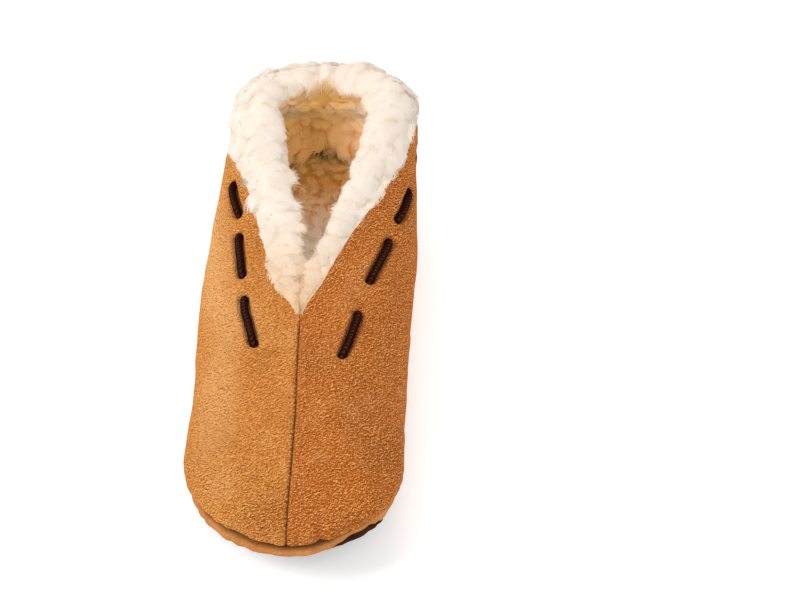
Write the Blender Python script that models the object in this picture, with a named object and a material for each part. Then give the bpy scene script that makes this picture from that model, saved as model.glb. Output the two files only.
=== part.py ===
"""A fleece-lined suede slipper with a turned sole, a rolled fleece cuff and a threaded cord.

Metres, +Z up. The toe points to -Y, the heel to +Y, and the floor is Z = 0. The origin lies on the
floor under the middle of the slipper. Sizes are in millimetres and become metres where a mesh is made.

The slipper's surfaces share one set of upright sections. A section is a half-plane: it stands on the
centre line at `axis` millimetres behind the toe and looks along `turn` degrees, from 90 (to the toe)
through 0 (sideways) to -90 (to the heel). In it a point has a reach r from the centre line and a height z.
"""

import math
from collections import namedtuple
from functools import lru_cache

import bmesh
import bpy
import numpy as np

MM = 0.001

LENGTH = 275.0  # outside, from the lip of the toe to the back of the heel
WALL = 2.4  # suede with its backing
GAP = 0.3  # between pieces that touch
TUCK = 3.0  # how far the suede bellies out where it turns in to the sole seam

OUTSOLE_THICK = 2.0
SOLE_THICK = 2.2
INSOLE_THICK = 7.0
TOE_RISE = 22.0  # of the underside, from where the sole leaves the floor to the tip
TOE_RISE_FROM = 84.0
TOE_RISE_POWER = 1.25
HEEL_RISE = 2.5
HEEL_RISE_FROM = 252.0

CORD_RADIUS = 2.2
CORD_CLEARANCE = 0.6  # between the cord and the suede it lies on
HOLE_CLEARANCE = 0.7  # round the cord where it passes through the suede
HOLE_SIDES = 6
CORD_SIDES = 8
SMOOTH_UNDER = 50.0  # degrees between two faces that are shaded as one

Section = namedtuple("Section", "axis turn seam_r seam_z side_r side_z top_r top_z slope lean")
# seam: where upper and sole are sewn. side: the widest point. top: the ridge of the vamp (reach 0) or
# the edge of the collar. slope: degrees that the wall still climbs there. lean: how far the slack
# suede has shifted to the right at the top, and in proportion below it.
SECTIONS = (
    Section(54.0, 90.0, 51.5, 31.0, 52.0, 36.0, 0.0, 51.5, 11.0, 0.0),
    Section(54.0, 60.0, 51.2, 32.0, 52.4, 36.5, 0.0, 51.5, 9.5, 0.0),
    Section(54.0, 30.0, 49.6, 28.5, 52.6, 34.5, 0.0, 51.5, 5.5, 0.0),
    Section(54.0, 0.0, 47.0, 18.5, 50.2, 31.0, 0.0, 51.5, 0.0, 0.0),
    Section(82.0, 0.0, 45.5, 9.0, 49.8, 28.0, 0.0, 55.5, 0.0, -0.9),
    Section(110.0, 0.0, 44.0, 6.5, 50.4, 29.0, 0.0, 59.0, 0.0, -1.7),
    Section(131.0, 0.0, 42.0, 6.5, 51.0, 31.0, 9.2, 62.0, 9.0, -2.8),
    Section(160.0, 0.0, 40.0, 6.5, 51.0, 33.0, 19.5, 65.5, 22.0, -1.2),
    Section(190.0, 0.0, 38.0, 6.5, 49.4, 36.0, 33.0, 69.0, 42.0, 0.4),
    Section(215.0, 0.0, 36.5, 7.0, 47.0, 41.0, 41.0, 74.0, 68.0, 2.2),
    Section(235.0, 0.0, 36.0, 8.0, 45.4, 45.0, 42.6, 76.5, 80.0, 2.8),
    Section(235.0, -30.0, 36.5, 10.0, 43.0, 38.0, 36.5, 77.0, 78.0, 2.6),
    Section(235.0, -60.0, 37.0, 12.5, 40.6, 30.0, 28.5, 76.0, 75.0, 1.6),
    Section(235.0, -90.0, 37.5, 13.5, 39.8, 26.0, 25.5, 75.5, 74.0, 0.8),
)
TIP, VAMP_SIDE, THROAT, BACK = 0, 3, 5, 13  # places along the table, by row
STATIONS_PER_ROW = (3, 3, 3, 2, 2, 3, 3, 3, 2, 2, 3, 3, 3)
CORD_ROWS = 7.0  # a row of points lies at the cord, one this far above it and one as far below it
LOWER_ROWS = 5  # from there to the sole seam

Cuff = namedtuple("Cuff", "at overhang out rise inward drop")
# The fleece over the collar edge. overhang: how far it hangs down outside. out: how far it stands off
# the suede there. rise, inward: how far it stands past the edge. drop: how far it goes down inside.
CUFF_RIGHT = (
    Cuff(5.0, 1.0, 0.6, 1.5, 2.0, 6.0),
    Cuff(6.0, 1.2, 0.8, 3.5, 8.0, 6.0),
    Cuff(7.0, 1.2, 0.8, 5.0, 11.0, 6.0),
    Cuff(8.0, 1.2, 0.8, 7.0, 17.0, 6.0),
    Cuff(9.0, 2.0, 1.2, 9.0, 22.0, 6.0),
    Cuff(10.0, 4.0, 2.0, 9.0, 21.0, 6.0),
    Cuff(11.0, 7.0, 2.0, 8.5, 17.0, 6.0),
    Cuff(12.0, 9.0, 2.0, 8.0, 12.0, 6.0),
    Cuff(13.0, 10.0, 2.0, 8.0, 10.0, 6.0),
)
CUFF_LEFT = (
    Cuff(5.0, 1.5, 1.0, 1.5, 2.0, 6.0),
    Cuff(6.0, 4.0, 2.4, 4.0, 11.0, 5.0),
    Cuff(7.0, 5.0, 3.0, 6.0, 15.0, 4.0),
    Cuff(8.0, 5.0, 3.0, 8.0, 21.0, 4.0),
    Cuff(9.0, 7.0, 2.6, 9.0, 22.0, 4.0),
    Cuff(10.0, 8.0, 2.0, 9.0, 19.0, 6.0),
    Cuff(11.0, 8.5, 2.0, 8.5, 16.0, 6.0),
    Cuff(12.0, 9.5, 2.0, 8.0, 12.0, 6.0),
    Cuff(13.0, 10.0, 2.0, 8.0, 10.0, 6.0),
)
CUFF_START = THROAT + 1 / 3
CUFF_POINTS = 10  # along the free side of a section of the cuff
CUFF_SLIT = 0.4  # each side's distance from the centre line where the two bands lie against each other
LOCK_LENGTH = 15.0  # of a lock of fleece along the collar
LOCK_DEPTH = 3.2
LOCK_ROWS = 3.0

Fleece = namedtuple("Fleece", "at thick")
LINING_STATIONS_PER_ROW = (2, 2, 2, 2, 2, 3, 3, 3, 2, 2, 2, 2, 2)
LINING_ROWS = (0, 2, 3, 4, 6, 8, 9)  # of the upper's rows, the ones that the lining has too
CORD_ROW = 3  # the one that follows the cord
LINING = (Fleece(0.0, 4.0), Fleece(3.0, 6.5), Fleece(4.0, 8.5), Fleece(5.0, 9.5), Fleece(13.0, 10.5))
LINING_GAP = 0.5
UNDER_CUFF = 1.2  # from the cuff to the top of the lining

Lip = namedtuple("Lip", "at out")
# How far the sole's edge bulges past the seam.
LIP = (Lip(0.0, 2.3), Lip(1.0, 1.7), Lip(2.0, 0.4), Lip(3.0, 0.2), Lip(10.0, 0.6), Lip(13.0, 1.5))
LIP_POINTS = 5
FOOT_IN = 4.0  # from the seam to where the edge of the sole reaches its underside
OUTSOLE_IN = 4.5  # from the seam to the edge of the outsole

Route = namedtuple("Route", "at right left")
# How far below the ridge or the collar edge the cord runs on each side.
CORD_ROUTE = (
    Route(3.0, 19.0, 19.0),
    Route(4.5, 20.3, 19.8),
    Route(5.5, 25.0, 22.5),
    Route(6.3, 21.3, 18.0),
    Route(7.1, 20.0, 15.5),
    Route(7.6, 17.2, 11.4),
    Route(8.2, 16.0, 11.0),
    Route(9.0, 18.0, 15.0),
    Route(10.0, 22.0, 21.0),
    Route(11.0, 24.0, 24.0),
    Route(13.0, 24.0, 24.0),
)
CORD_FROM = 3.7  # the place in front of which there is no cord and no channel for it
DRAWN_IN = 2.6  # how far the cord pulls the suede in
CHANNEL = 9.2  # how deep the cord's channel in the lining is
Stitch = namedtuple("Stitch", "right_from right_to left_from left_to")
# Where the cord lies outside the suede on each side. One more stitch crosses the heel.
STITCHES = (
    Stitch(4.46, 5.42, 4.60, 5.66),
    Stitch(6.28, 7.13, 6.24, 7.03),
    Stitch(7.60, 8.24, 7.46, 8.07),
    Stitch(9.30, 10.15, 9.20, 10.05),
    Stitch(10.90, 11.85, 10.85, 11.85),
)
BACK_STITCH = 12.45  # where the stitch across the heel starts and ends
DIVE = 3.2  # along the cord, half the length over which it passes through the wall
HIDDEN_END = 5.0  # of the cord inside, past the front stitches


# ---- smooth columns ----


def smooth(knots, values, at):
    """A curve through the values that never overshoots them and is level at both ends."""
    steps = [b - a for a, b in zip(knots, knots[1:])]
    rates = [(b - a) / h for a, b, h in zip(values, values[1:], steps)]
    slopes = [0.0]
    for before, after in zip(rates, rates[1:]):
        slopes.append(0.0 if before * after <= 0 else 2 * before * after / (before + after))
    slopes.append(0.0)
    k = min(max(sum(knot <= at for knot in knots) - 1, 0), len(steps) - 1)
    t = min(max((at - knots[k]) / steps[k], 0.0), 1.0)
    rise = values[k + 1] - values[k]
    bend = slopes[k] * t * (1 - t) ** 2 - slopes[k + 1] * t**2 * (1 - t)
    return values[k] + rise * t * t * (3 - 2 * t) + bend * steps[k]


def column(table, name, at):
    """A named column of a table with an `at` column, read between its rows."""
    return smooth([row.at for row in table], [getattr(row, name) for row in table], at)


@lru_cache(maxsize=None)
def section(at):
    """The section at a place along the table, whose rows are at the whole numbers."""
    knots = list(range(len(SECTIONS)))
    low = min(int(at), len(SECTIONS) - 2)
    share = at - low
    first, second = SECTIONS[low], SECTIONS[low + 1]
    axis = first.axis + share * (second.axis - first.axis)
    turn = first.turn + share * (second.turn - first.turn)
    rest = [smooth(knots, [getattr(row, name) for row in SECTIONS], at) for name in Section._fields[2:]]
    return Section(axis, turn, *rest)


def behind_toe(at, r):
    """How far behind the toe a point of the section lies."""
    here = section(at)
    return here.axis - r * math.sin(math.radians(here.turn))


def place(at, side, r, z):
    """A point of the section as x, y, z. side is 1 for the right and -1 for the left."""
    here = section(at)
    climb = max(0.0, (z - here.seam_z) / (here.top_z - here.seam_z))
    x = side * r * math.cos(math.radians(here.turn)) + here.lean * climb
    return np.array([x, behind_toe(at, r) - LENGTH / 2, z])


def stations(first=TIP, last=BACK, per_row=STATIONS_PER_ROW):
    """The places of the sections between two places of the table, both included."""
    found = [row + k / count for row, count in enumerate(per_row) for k in range(count)]
    return [first, *(at for at in found if first < at < last), last]


def bezier(points, count):
    """Points along a cubic Bezier curve, both ends included."""
    t = np.linspace(0, 1, count)[:, None]
    a, b, c, d = (np.array(p, float) for p in points)
    return a * (1 - t) ** 3 + 3 * b * t * (1 - t) ** 2 + 3 * c * t**2 * (1 - t) + d * t**3


def through(anchors, count):
    """Points along a smooth curve through the anchors."""
    padded = np.concatenate([[2 * anchors[0] - anchors[1]], anchors, [2 * anchors[-1] - anchors[-2]]])
    found = []
    for share in np.linspace(0, len(anchors) - 1, count):
        k = min(int(share), len(anchors) - 2)
        t = share - k
        a, b, c, d = padded[k : k + 4]
        bend = (c - a) * t + (2 * a - 5 * b + 4 * c - d) * t**2 + (3 * b - a - 3 * c + d) * t**3
        found.append(b + 0.5 * bend)
    return np.array(found)


# ---- the outer face of the upper ----


@lru_cache(maxsize=None)
def wall_line(at):
    """The outer face in one section, as reach and height from the top down, and each point's distance down it."""
    here = section(at)
    seam, widest, top = (here.seam_r, here.seam_z), (here.side_r, here.side_z), (here.top_r, here.top_z)
    climb = here.side_z - here.seam_z
    below_seam = (seam[0] + TUCK, seam[1] + 0.6 * TUCK)
    lower = bezier((seam, below_seam, (widest[0], widest[1] - 0.45 * climb), widest), 16)
    slope = math.radians(here.slope)
    handle = 0.5 * math.dist(widest, top)
    above_widest = (widest[0], widest[1] + 0.55 * (top[1] - widest[1]))
    before_top = (top[0] + handle * math.cos(slope), top[1] - handle * math.sin(slope))
    upper = bezier((widest, above_widest, before_top, top), 40)
    line = np.concatenate([lower, upper[1:]])[::-1]
    down = np.concatenate([[0.0], np.cumsum(np.linalg.norm(np.diff(line, axis=0), axis=1))])
    return line, down


def wall_point(at, side, below):
    """The point of the outer face that far below its top."""
    line, down = wall_line(at)
    return place(at, side, np.interp(below, down, line[:, 0]), np.interp(below, down, line[:, 1]))


def wall_normal(at, side, below):
    """The outward direction of the outer face. The two sides share one on the centre line."""
    on_ridge = below == 0 and at <= THROAT
    middle = on_ridge or at in (TIP, BACK)
    side = 1 if middle else side
    at = max(at, VAMP_SIDE) if on_ridge else at
    step, nudge = 0.04, 1.0
    along = wall_point(min(at + step, BACK), side, below) - wall_point(max(at - step, TIP), side, below)
    down = wall_point(at, side, below + nudge) - wall_point(at, side, max(below - nudge, 0.0))
    normal = np.cross(down, along) * side
    if middle:
        normal[0] = 0.0
    return normal / np.linalg.norm(normal)


def cord_below(at, side):
    """How far below the top of the wall the cord runs."""
    return column(CORD_ROUTE, "right" if side > 0 else "left", at)


@lru_cache(maxsize=None)
def wall_rows(at, side):
    """The distances below the top at which a section has points."""
    cord = cord_below(at, side)
    above = cord - CORD_ROWS
    lower = np.linspace(cord + CORD_ROWS, wall_line(at)[1][-1], LOWER_ROWS + 1)
    return (0.0, above / 2, above, cord, *lower)


@lru_cache(maxsize=None)
def layer(at, side, depth, channel=0.0):
    """A section's row of points that deep under the outer face, and deeper by channel along the cord.

    A negative depth stands proud of the outer face.
    """
    depths = np.full(len(wall_rows(at, side)), depth)
    depths[CORD_ROW] += (DRAWN_IN + channel) * min(max((at - CORD_FROM) / 0.3, 0.0), 1.0)
    return np.array(
        [
            wall_point(at, side, below) - deep * wall_normal(at, side, below)
            for below, deep in zip(wall_rows(at, side), depths)
        ]
    )


def on_layer(at, side, below, depth, channel=0.0):
    """One point of a layer, on the flat face between its rows."""
    rows, points = wall_rows(at, side), layer(at, side, depth, channel)
    return np.array([np.interp(below, rows, points[:, k]) for k in range(3)])


# ---- the underside ----


def rise_of_sole(s):
    """How far the underside stands off the floor, s behind the toe."""
    toe = max(0.0, 1 - s / TOE_RISE_FROM) ** TOE_RISE_POWER
    heel = max(0.0, (s - HEEL_RISE_FROM) / (LENGTH - HEEL_RISE_FROM)) ** 2
    return TOE_RISE * toe + HEEL_RISE * heel


def sole_under(s):
    return rise_of_sole(s) + OUTSOLE_THICK + GAP


def sole_top(s):
    return sole_under(s) + SOLE_THICK


def insole_top(s):
    return sole_top(s) + GAP + INSOLE_THICK


# ---- meshes ----


def add_object(name, points, faces, material):
    """A closed mesh in metres, with points that coincide made one and its faces turned outwards."""
    mesh = bpy.data.meshes.new(name)
    shape = bmesh.new()
    corners = [shape.verts.new([c * MM for c in point]) for point in points]
    for face in faces:
        shape.faces.new([corners[k] for k in face])
    bmesh.ops.remove_doubles(shape, verts=shape.verts, dist=0.01 * MM)
    bmesh.ops.dissolve_degenerate(shape, edges=shape.edges, dist=0.01 * MM)
    bmesh.ops.triangulate(shape, faces=shape.faces)
    bmesh.ops.recalc_face_normals(shape, faces=shape.faces)
    if shape.calc_volume(signed=True) < 0:
        bmesh.ops.reverse_faces(shape, faces=shape.faces)
    shape.to_mesh(mesh)
    shape.free()
    mesh.shade_smooth()
    mesh.set_sharp_from_angle(angle=math.radians(SMOOTH_UNDER))
    mesh.materials.append(material)
    made = bpy.data.objects.new(name, mesh)
    bpy.context.scene.collection.objects.link(made)
    return made


def strip(before, after, skip=()):
    """Triangles between two rows of point numbers, split the same way on every piece."""
    faces = []
    for j in range(len(before) - 1):
        if j not in skip:
            a, b, c, d = before[j], after[j], after[j + 1], before[j + 1]
            faces += [(a, b, c), (a, c, d)]
    return faces


def numbered(loops, start=0):
    """The numbers of the points of closed loops, each with its first repeated at its end."""
    rows = len(loops[0])
    return [[start + i * rows + j for j in (*range(rows), 0)] for i in range(len(loops))]


def shell(first_rows, second_rows, places, joined_before):
    """Points and faces of a wall round both sides, from the rows of points of its two faces, top first.

    Before the place joined_before the two sides meet on the centre line, and the wall has no top edge there.
    """
    points, faces = [], []
    for side in (1, -1):
        loops = [[*first_rows(at, side), *second_rows(at, side)[::-1]] for at in places]
        numbers = numbered(loops, len(points))
        points += [point for loop in loops for point in loop]
        for at, before, after in zip(places, numbers, numbers[1:]):
            skip = (len(loops[0]) - 1,) if at < joined_before else ()
            faces += strip(before, after, skip)
    return points, faces


def plate(section_loop, middle, places):
    """Points and faces of a flat piece that spans both sides.

    section_loop gives a section from its rim along the underside to the centre line, and back along the
    top. middle is its last point on the underside, from which no face runs up the centre line.
    """
    points, faces = [], []
    for side in (1, -1):
        loops = [section_loop(at, side) for at in places]
        numbers = numbered(loops, len(points))
        points += [point for loop in loops for point in loop]
        for before, after in zip(numbers, numbers[1:]):
            faces += strip(before, after, (middle,))
    return points, faces


def band(loops):
    """Points and faces of closed loops swept one to the next, with a cap at each end."""
    numbers = numbered(loops)
    faces = [face for before, after in zip(numbers, numbers[1:]) for face in strip(before, after)]
    faces += [tuple(numbers[0][:-1]), tuple(numbers[-1][:-1])]
    return [point for loop in loops for point in loop], faces


def tube(line, radius, sides):
    """Closed loops of points round a line."""
    tangents = np.gradient(line, axis=0)
    tangents /= np.linalg.norm(tangents, axis=1)[:, None]
    across = np.cross(tangents[0], (0.0, 0.0, 1.0))
    loops = []
    for point, tangent in zip(line, tangents):
        across = across - tangent * np.dot(across, tangent)
        across /= np.linalg.norm(across)
        second = np.cross(tangent, across)
        angles = [2 * math.pi * k / sides for k in range(sides)]
        loops.append([point + radius * (math.cos(a) * across + math.sin(a) * second) for a in angles])
    return loops


def material(name, colour, roughness):
    made = bpy.data.materials.new(name)
    made.use_nodes = True
    shader = made.node_tree.nodes["Principled BSDF"]
    shader.inputs["Base Color"].default_value = (*colour, 1.0)
    shader.inputs["Roughness"].default_value = roughness
    shader.inputs["Metallic"].default_value = 0.0
    return made


# ---- upper, lining and cuff ----


def make_upper(suede):
    """Vamp and quarters, one wall of suede, open at the throat and collar and where the sole closes it."""

    def outer(at, side):
        return layer(at, side, 0.0)

    def inner(at, side):
        return layer(at, side, WALL)

    return add_object("upper", *shell(outer, inner, stations(), THROAT), suede)


def lining_depths(at):
    """How deep the two faces of the lining lie under the outer face of the upper."""
    near = WALL + LINING_GAP
    return near, near + column(LINING, "thick", at)


def lining_span(at, side):
    """How far below the top of the wall the lining starts and ends."""
    cuff = CUFF_RIGHT if side > 0 else CUFF_LEFT
    share = min(max((at - THROAT) / (CUFF_START - THROAT), 0.0), 1.0)
    top = share * (column(cuff, "drop", at) + UNDER_CUFF)
    for below in np.linspace(wall_rows(at, side)[-1] - 1.5, top, 80):
        low = min((on_layer(at, side, below, depth) for depth in lining_depths(at)), key=lambda p: p[2])
        if low[2] > insole_top(low[1] + LENGTH / 2) + 2 * GAP:
            return top, below
    raise ValueError("the wall never rises above the insole")


def make_lining(fleece):
    """Fleece inside the whole upper, from the cuff down to the insole, with a channel where the cord runs."""

    def face(which, channel):
        def rows(at, side):
            kept = np.clip([wall_rows(at, side)[k] for k in LINING_ROWS], *lining_span(at, side))
            return [on_layer(at, side, below, lining_depths(at)[which], channel) for below in kept]

        return rows

    places = stations(per_row=LINING_STATIONS_PER_ROW)
    return add_object("fleece_lining", *shell(face(1, 0.0), face(0, CHANNEL), places, THROAT), fleece)


def lock_height(along, across, side):
    """The stand of the fleece: rows of rounded locks, each row set half a lock from the next."""
    row = math.floor(across * LOCK_ROWS)
    phase = along / LOCK_LENGTH + 0.5 * (row % 2) + 0.13 * side
    ridge = math.sin(math.pi * (phase % 1.0)) ** 0.7
    dome = math.sin(math.pi * (across * LOCK_ROWS % 1.0)) ** 0.7
    uneven = 0.75 + 0.25 * math.sin(2.4 * math.floor(phase) + 1.7 * row)
    return LOCK_DEPTH * ridge * dome * uneven


def cuff_section(at, side, along):
    """A section of the cuff: its free side, from outside over the top and down inside, then the side on the wall."""
    cuff = CUFF_RIGHT if side > 0 else CUFF_LEFT
    overhang, out, rise, inward, drop = (column(cuff, name, at) for name in Cuff._fields[1:])
    here = section(at)
    slope = math.radians(here.slope)
    outside = on_layer(at, side, overhang, -2 * GAP)
    belly = on_layer(at, side, 0.35 * overhang, -GAP - out)
    crown = place(at, side, here.top_r - 0.42 * inward, here.top_z + rise)
    lip = place(at, side, here.top_r - inward, here.top_z - 0.15 * rise)
    inside = on_layer(at, side, drop, lining_depths(at)[1])
    anchors = np.array([outside, belly, crown, lip, inside])
    free = through(anchors, CUFF_POINTS)
    middle = anchors.mean(axis=0)
    for k in range(1, CUFF_POINTS - 1):
        share = k / (CUFF_POINTS - 1)
        swell = min(1.0, rise / 10.0, 4 * share, 3 * (1 - share) ** 1.5)
        away = (free[k] - middle) / np.linalg.norm(free[k] - middle)
        free[k] += away * swell * (lock_height(along, share, side) - 0.4 * LOCK_DEPTH)
    if here.turn == 0.0:
        for point in free:
            centre = place(at, side, 0.0, point[2])[0]
            point[0] = centre + side * max(side * (point[0] - centre), CUFF_SLIT)
    off_edge = GAP * (place(at, side, -math.cos(slope), math.sin(slope)) - place(at, side, 0.0, 0.0))
    rows = wall_rows(at, side)[:CORD_ROW]
    inner_wall = [on_layer(at, side, min(below, drop), WALL + GAP) for below in rows[::-1]]
    outer_wall = [on_layer(at, side, min(below, overhang), -GAP) for below in rows]
    held = [*inner_wall[:-1], inner_wall[-1] + off_edge, outer_wall[0] + off_edge, *outer_wall[1:-1]]
    return np.array([*free, *held])


def make_cuff(fleece):
    """The fleece rolled over the collar, one band from the throat round the heel and back."""
    places = stations(CUFF_START, BACK)
    loops = {}
    for side in (1, -1):
        edge = [wall_point(at, side, 0.0) for at in places]
        along = np.cumsum([0.0, *(math.dist(a, b) for a, b in zip(edge, edge[1:]))])
        whole = [cuff_section(at, side, run) for at, run in zip(places, along)]
        loops[side] = whole[:1]
        for k in range(1, len(places)):
            between = cuff_section((places[k - 1] + places[k]) / 2, side, (along[k - 1] + along[k]) / 2)
            on_wall = [0, *range(CUFF_POINTS - 1, len(between))]
            between[on_wall] = (whole[k - 1][on_wall] + whole[k][on_wall]) / 2
            loops[side] += [between, whole[k]]
    return add_object("fleece_cuff", *band([*loops[1], *loops[-1][-2::-1]]), fleece)


# ---- sole, outsole and insole ----


def make_sole(suede):
    """The soft suede sole, turned up at the toe and heel, with the rounded lip that shows under the seam."""

    def loop(at, side):
        here = section(at)
        lip, foot_r, tray_r = column(LIP, "out", at), here.seam_r - FOOT_IN, here.seam_r - SOLE_THICK
        high, low = here.seam_z - GAP, sole_under(behind_toe(at, here.seam_r))
        foot = (foot_r, sole_under(behind_toe(at, foot_r)))
        bulge = (here.seam_r + 1.9 * lip, high - 0.2 * (high - low))
        turn_in = (here.seam_r + 0.9 * lip, low + 0.05 * (high - low))
        under = [(foot_r * k, sole_under(behind_toe(at, foot_r * k))) for k in (0.7, 0.35, 0.0)]
        top = [(tray_r * k, sole_top(behind_toe(at, tray_r * k))) for k in (0.0, 0.35, 0.7, 1.0)]
        points = [*bezier(((here.seam_r, high), bulge, turn_in, foot), LIP_POINTS), *under, *top, (tray_r, high)]
        return [place(at, side, r, z) for r, z in points]

    return add_object("sole", *plate(loop, LIP_POINTS + 2, stations()), suede)


def sheet_loop(reach_in, height, thick):
    """Sections of a plate that ends reach_in inside the seam, lies on height(s) and is that thick."""

    def loop(at, side):
        reach = section(at).seam_r - reach_in
        under = [(reach * k, height(behind_toe(at, reach * k))) for k in (1.0, 0.67, 0.34, 0.0)]
        return [place(at, side, r, z) for r, z in [*under, *((r, z + thick) for r, z in under[::-1])]]

    return loop


def make_outsole(leather):
    """The thin dark sheet under the sole, which follows it up at the toe."""
    loop = sheet_loop(OUTSOLE_IN, rise_of_sole, OUTSOLE_THICK)
    return add_object("outsole", *plate(loop, 3, stations()), leather)


def make_insole(fleece):
    """The fleece footbed."""
    loop = sheet_loop(SOLE_THICK + 2 * GAP, lambda s: sole_top(s) + GAP, INSOLE_THICK)
    return add_object("insole", *plate(loop, 3, stations()), fleece)


# ---- the cord ----


def cord_stitches():
    """Start and end of each stitch in order, as (at, side), from the right front round the heel."""
    right = [((s.right_from, 1), (s.right_to, 1)) for s in STITCHES]
    left = [((s.left_to, -1), (s.left_from, -1)) for s in STITCHES[::-1]]
    return [*right, ((BACK_STITCH, 1), (BACK_STITCH, -1)), *left]


@lru_cache(maxsize=None)
def cord_track():
    """Places along the cord's route, from the right front round the heel, and the distance travelled to each."""
    ats = list(np.linspace(CORD_FROM - 0.5, BACK, 400))
    places = [(at, 1) for at in ats] + [(at, -1) for at in ats[::-1]]
    points = [wall_point(at, side, cord_below(at, side)) for at, side in places]
    return places, np.cumsum([0.0, *(math.dist(a, b) for a, b in zip(points, points[1:]))])


def cord_point(travelled, depth):
    """A point of the cord's centre line that deep under the outer face."""
    places, distances = cord_track()
    at, side = places[min(int(np.searchsorted(distances, travelled)), len(places) - 1)]
    return on_layer(at, side, cord_below(at, side), depth)


def travelled_to(place_on_track):
    """The distance along the route to a place on it."""
    at, side = place_on_track
    places, distances = cord_track()
    nearest = min(range(len(places)), key=lambda k: (places[k][1] != side, abs(places[k][0] - at)))
    return distances[nearest]


def cord_line():
    """The centre line of the cord: outside along each stitch, then through the suede and along inside."""
    over = CORD_RADIUS + CORD_CLEARANCE
    outside, within, inside = -over, WALL / 2, WALL + over
    spans = [(travelled_to(start), travelled_to(end)) for start, end in cord_stitches()]
    points = [cord_point(spans[0][0] - DIVE - HIDDEN_END, inside)]
    for start, end in spans:
        points += [cord_point(start - DIVE, inside), cord_point(start, within)]
        points += [cord_point(place_on, outside) for place_on in (start + DIVE, (start + end) / 2, end - DIVE)]
        points += [cord_point(end, within), cord_point(end + DIVE, inside)]
    points.append(cord_point(spans[-1][1] + DIVE + HIDDEN_END, inside))
    return np.array(points)


def make_cord(cotton):
    return add_object("cord", *band(tube(cord_line(), CORD_RADIUS, CORD_SIDES)), cotton)


def cut_for_cord(piece):
    """Opens the holes that the cord passes through."""
    loops = tube(cord_line(), CORD_RADIUS + HOLE_CLEARANCE, HOLE_SIDES)
    cutter = add_object("cord_holes", *band(loops), piece.active_material)
    cutter.hide_render = True
    cutter.display_type = "WIRE"
    cut = piece.modifiers.new("cord_holes", "BOOLEAN")
    cut.operation = "DIFFERENCE"
    cut.solver = "EXACT"
    cut.object = cutter


def main():
    for old in list(bpy.data.objects):
        bpy.data.objects.remove(old)
    suede = material("suede", (0.52, 0.27, 0.095), 0.95)
    dark = material("dark_leather", (0.035, 0.018, 0.014), 0.7)
    fleece = material("fleece", (0.86, 0.76, 0.62), 1.0)
    cotton = material("cord_cotton", (0.045, 0.02, 0.014), 0.7)
    make_outsole(dark)
    make_sole(suede)
    make_insole(fleece)
    cut_for_cord(make_upper(suede))
    make_lining(fleece)
    make_cuff(fleece)
    make_cord(cotton)


main()
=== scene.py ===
"""The looks of a fleece-lined suede slipper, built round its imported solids.

The toe points to -Y, the heel to +Y, and the floor is Z = 0. Shapes are worked out in millimetres and
become metres where a mesh is made. Every piece is shaped on one last: upright sections from the toe to
the heel. A place on it is `at` (along the table of sections), `side` (1 right, -1 left) and `below`
(the distance down the wall from the ridge of the vamp or the edge of the collar).
"""

from __future__ import annotations

import logging
import math
from dataclasses import dataclass, fields
from enum import Enum
from typing import Callable, Sequence

import bmesh
import bpy
import numpy as np
from mathutils import Matrix, Vector, kdtree


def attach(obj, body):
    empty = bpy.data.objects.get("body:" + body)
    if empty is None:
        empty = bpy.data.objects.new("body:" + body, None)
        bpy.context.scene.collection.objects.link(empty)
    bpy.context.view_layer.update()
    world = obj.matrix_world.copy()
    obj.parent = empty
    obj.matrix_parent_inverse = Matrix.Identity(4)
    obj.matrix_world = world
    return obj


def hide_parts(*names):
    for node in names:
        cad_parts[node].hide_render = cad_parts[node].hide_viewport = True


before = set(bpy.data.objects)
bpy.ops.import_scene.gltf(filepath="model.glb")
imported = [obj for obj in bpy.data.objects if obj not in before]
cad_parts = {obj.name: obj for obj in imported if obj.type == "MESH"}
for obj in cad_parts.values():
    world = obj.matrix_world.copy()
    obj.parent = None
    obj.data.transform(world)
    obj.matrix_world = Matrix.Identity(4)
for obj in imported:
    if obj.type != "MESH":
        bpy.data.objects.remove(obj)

MM = 0.001
RIGHT, LEFT = 1, -1
SIDE_NAMES = {RIGHT: "right", LEFT: "left"}
log = logging.getLogger("slipper")

Array = np.ndarray
Colour = tuple[float, float, float, float]
Place = tuple[float, float, float]
Node, NodeTree, Socket = bpy.types.Node, bpy.types.NodeTree, bpy.types.NodeSocket
Object, Material = bpy.types.Object, bpy.types.Material
Inputs = dict[str | int, object]


class Slot(Enum):
    """The material slots of the record, one given with each piece."""

    SUEDE = "suede"
    OUTSOLE = "dark_leather"
    FLEECE = "fleece"
    CORD = "cord_cotton"


# ---- curves and grids ----


class Column:
    """A curve through values that never overshoots them and is level at both ends."""

    def __init__(self, knots: Sequence[float], values: Sequence[float]) -> None:
        """Work out the slope at each knot.

        Args:
            knots: Rising places.
            values: The value at each.
        """
        self.knots = np.asarray(knots, float)
        self.values = np.asarray(values, float)
        self.steps = np.diff(self.knots)
        rates = np.diff(self.values) / self.steps
        self.slopes = np.zeros(len(self.knots))
        rising = rates[:-1] * rates[1:] > 0
        total = np.where(rising, rates[:-1] + rates[1:], 1.0)
        self.slopes[1:-1] = np.where(rising, 2 * rates[:-1] * rates[1:] / total, 0.0)

    def read(self, at: Array | float) -> Array:
        """Return the value at each place.

        Args:
            at: Places along the curve.

        Returns:
            The value at each place.
        """
        at = np.asarray(at, float)
        k = np.clip(np.searchsorted(self.knots, at, side="right") - 1, 0, len(self.steps) - 1)
        step = self.steps[k]
        t = np.clip((at - self.knots[k]) / step, 0.0, 1.0)
        rise = self.values[k + 1] - self.values[k]
        bend = self.slopes[k] * t * (1 - t) ** 2 - self.slopes[k + 1] * t**2 * (1 - t)
        return self.values[k] + rise * t * t * (3 - 2 * t) + bend * step


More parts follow.
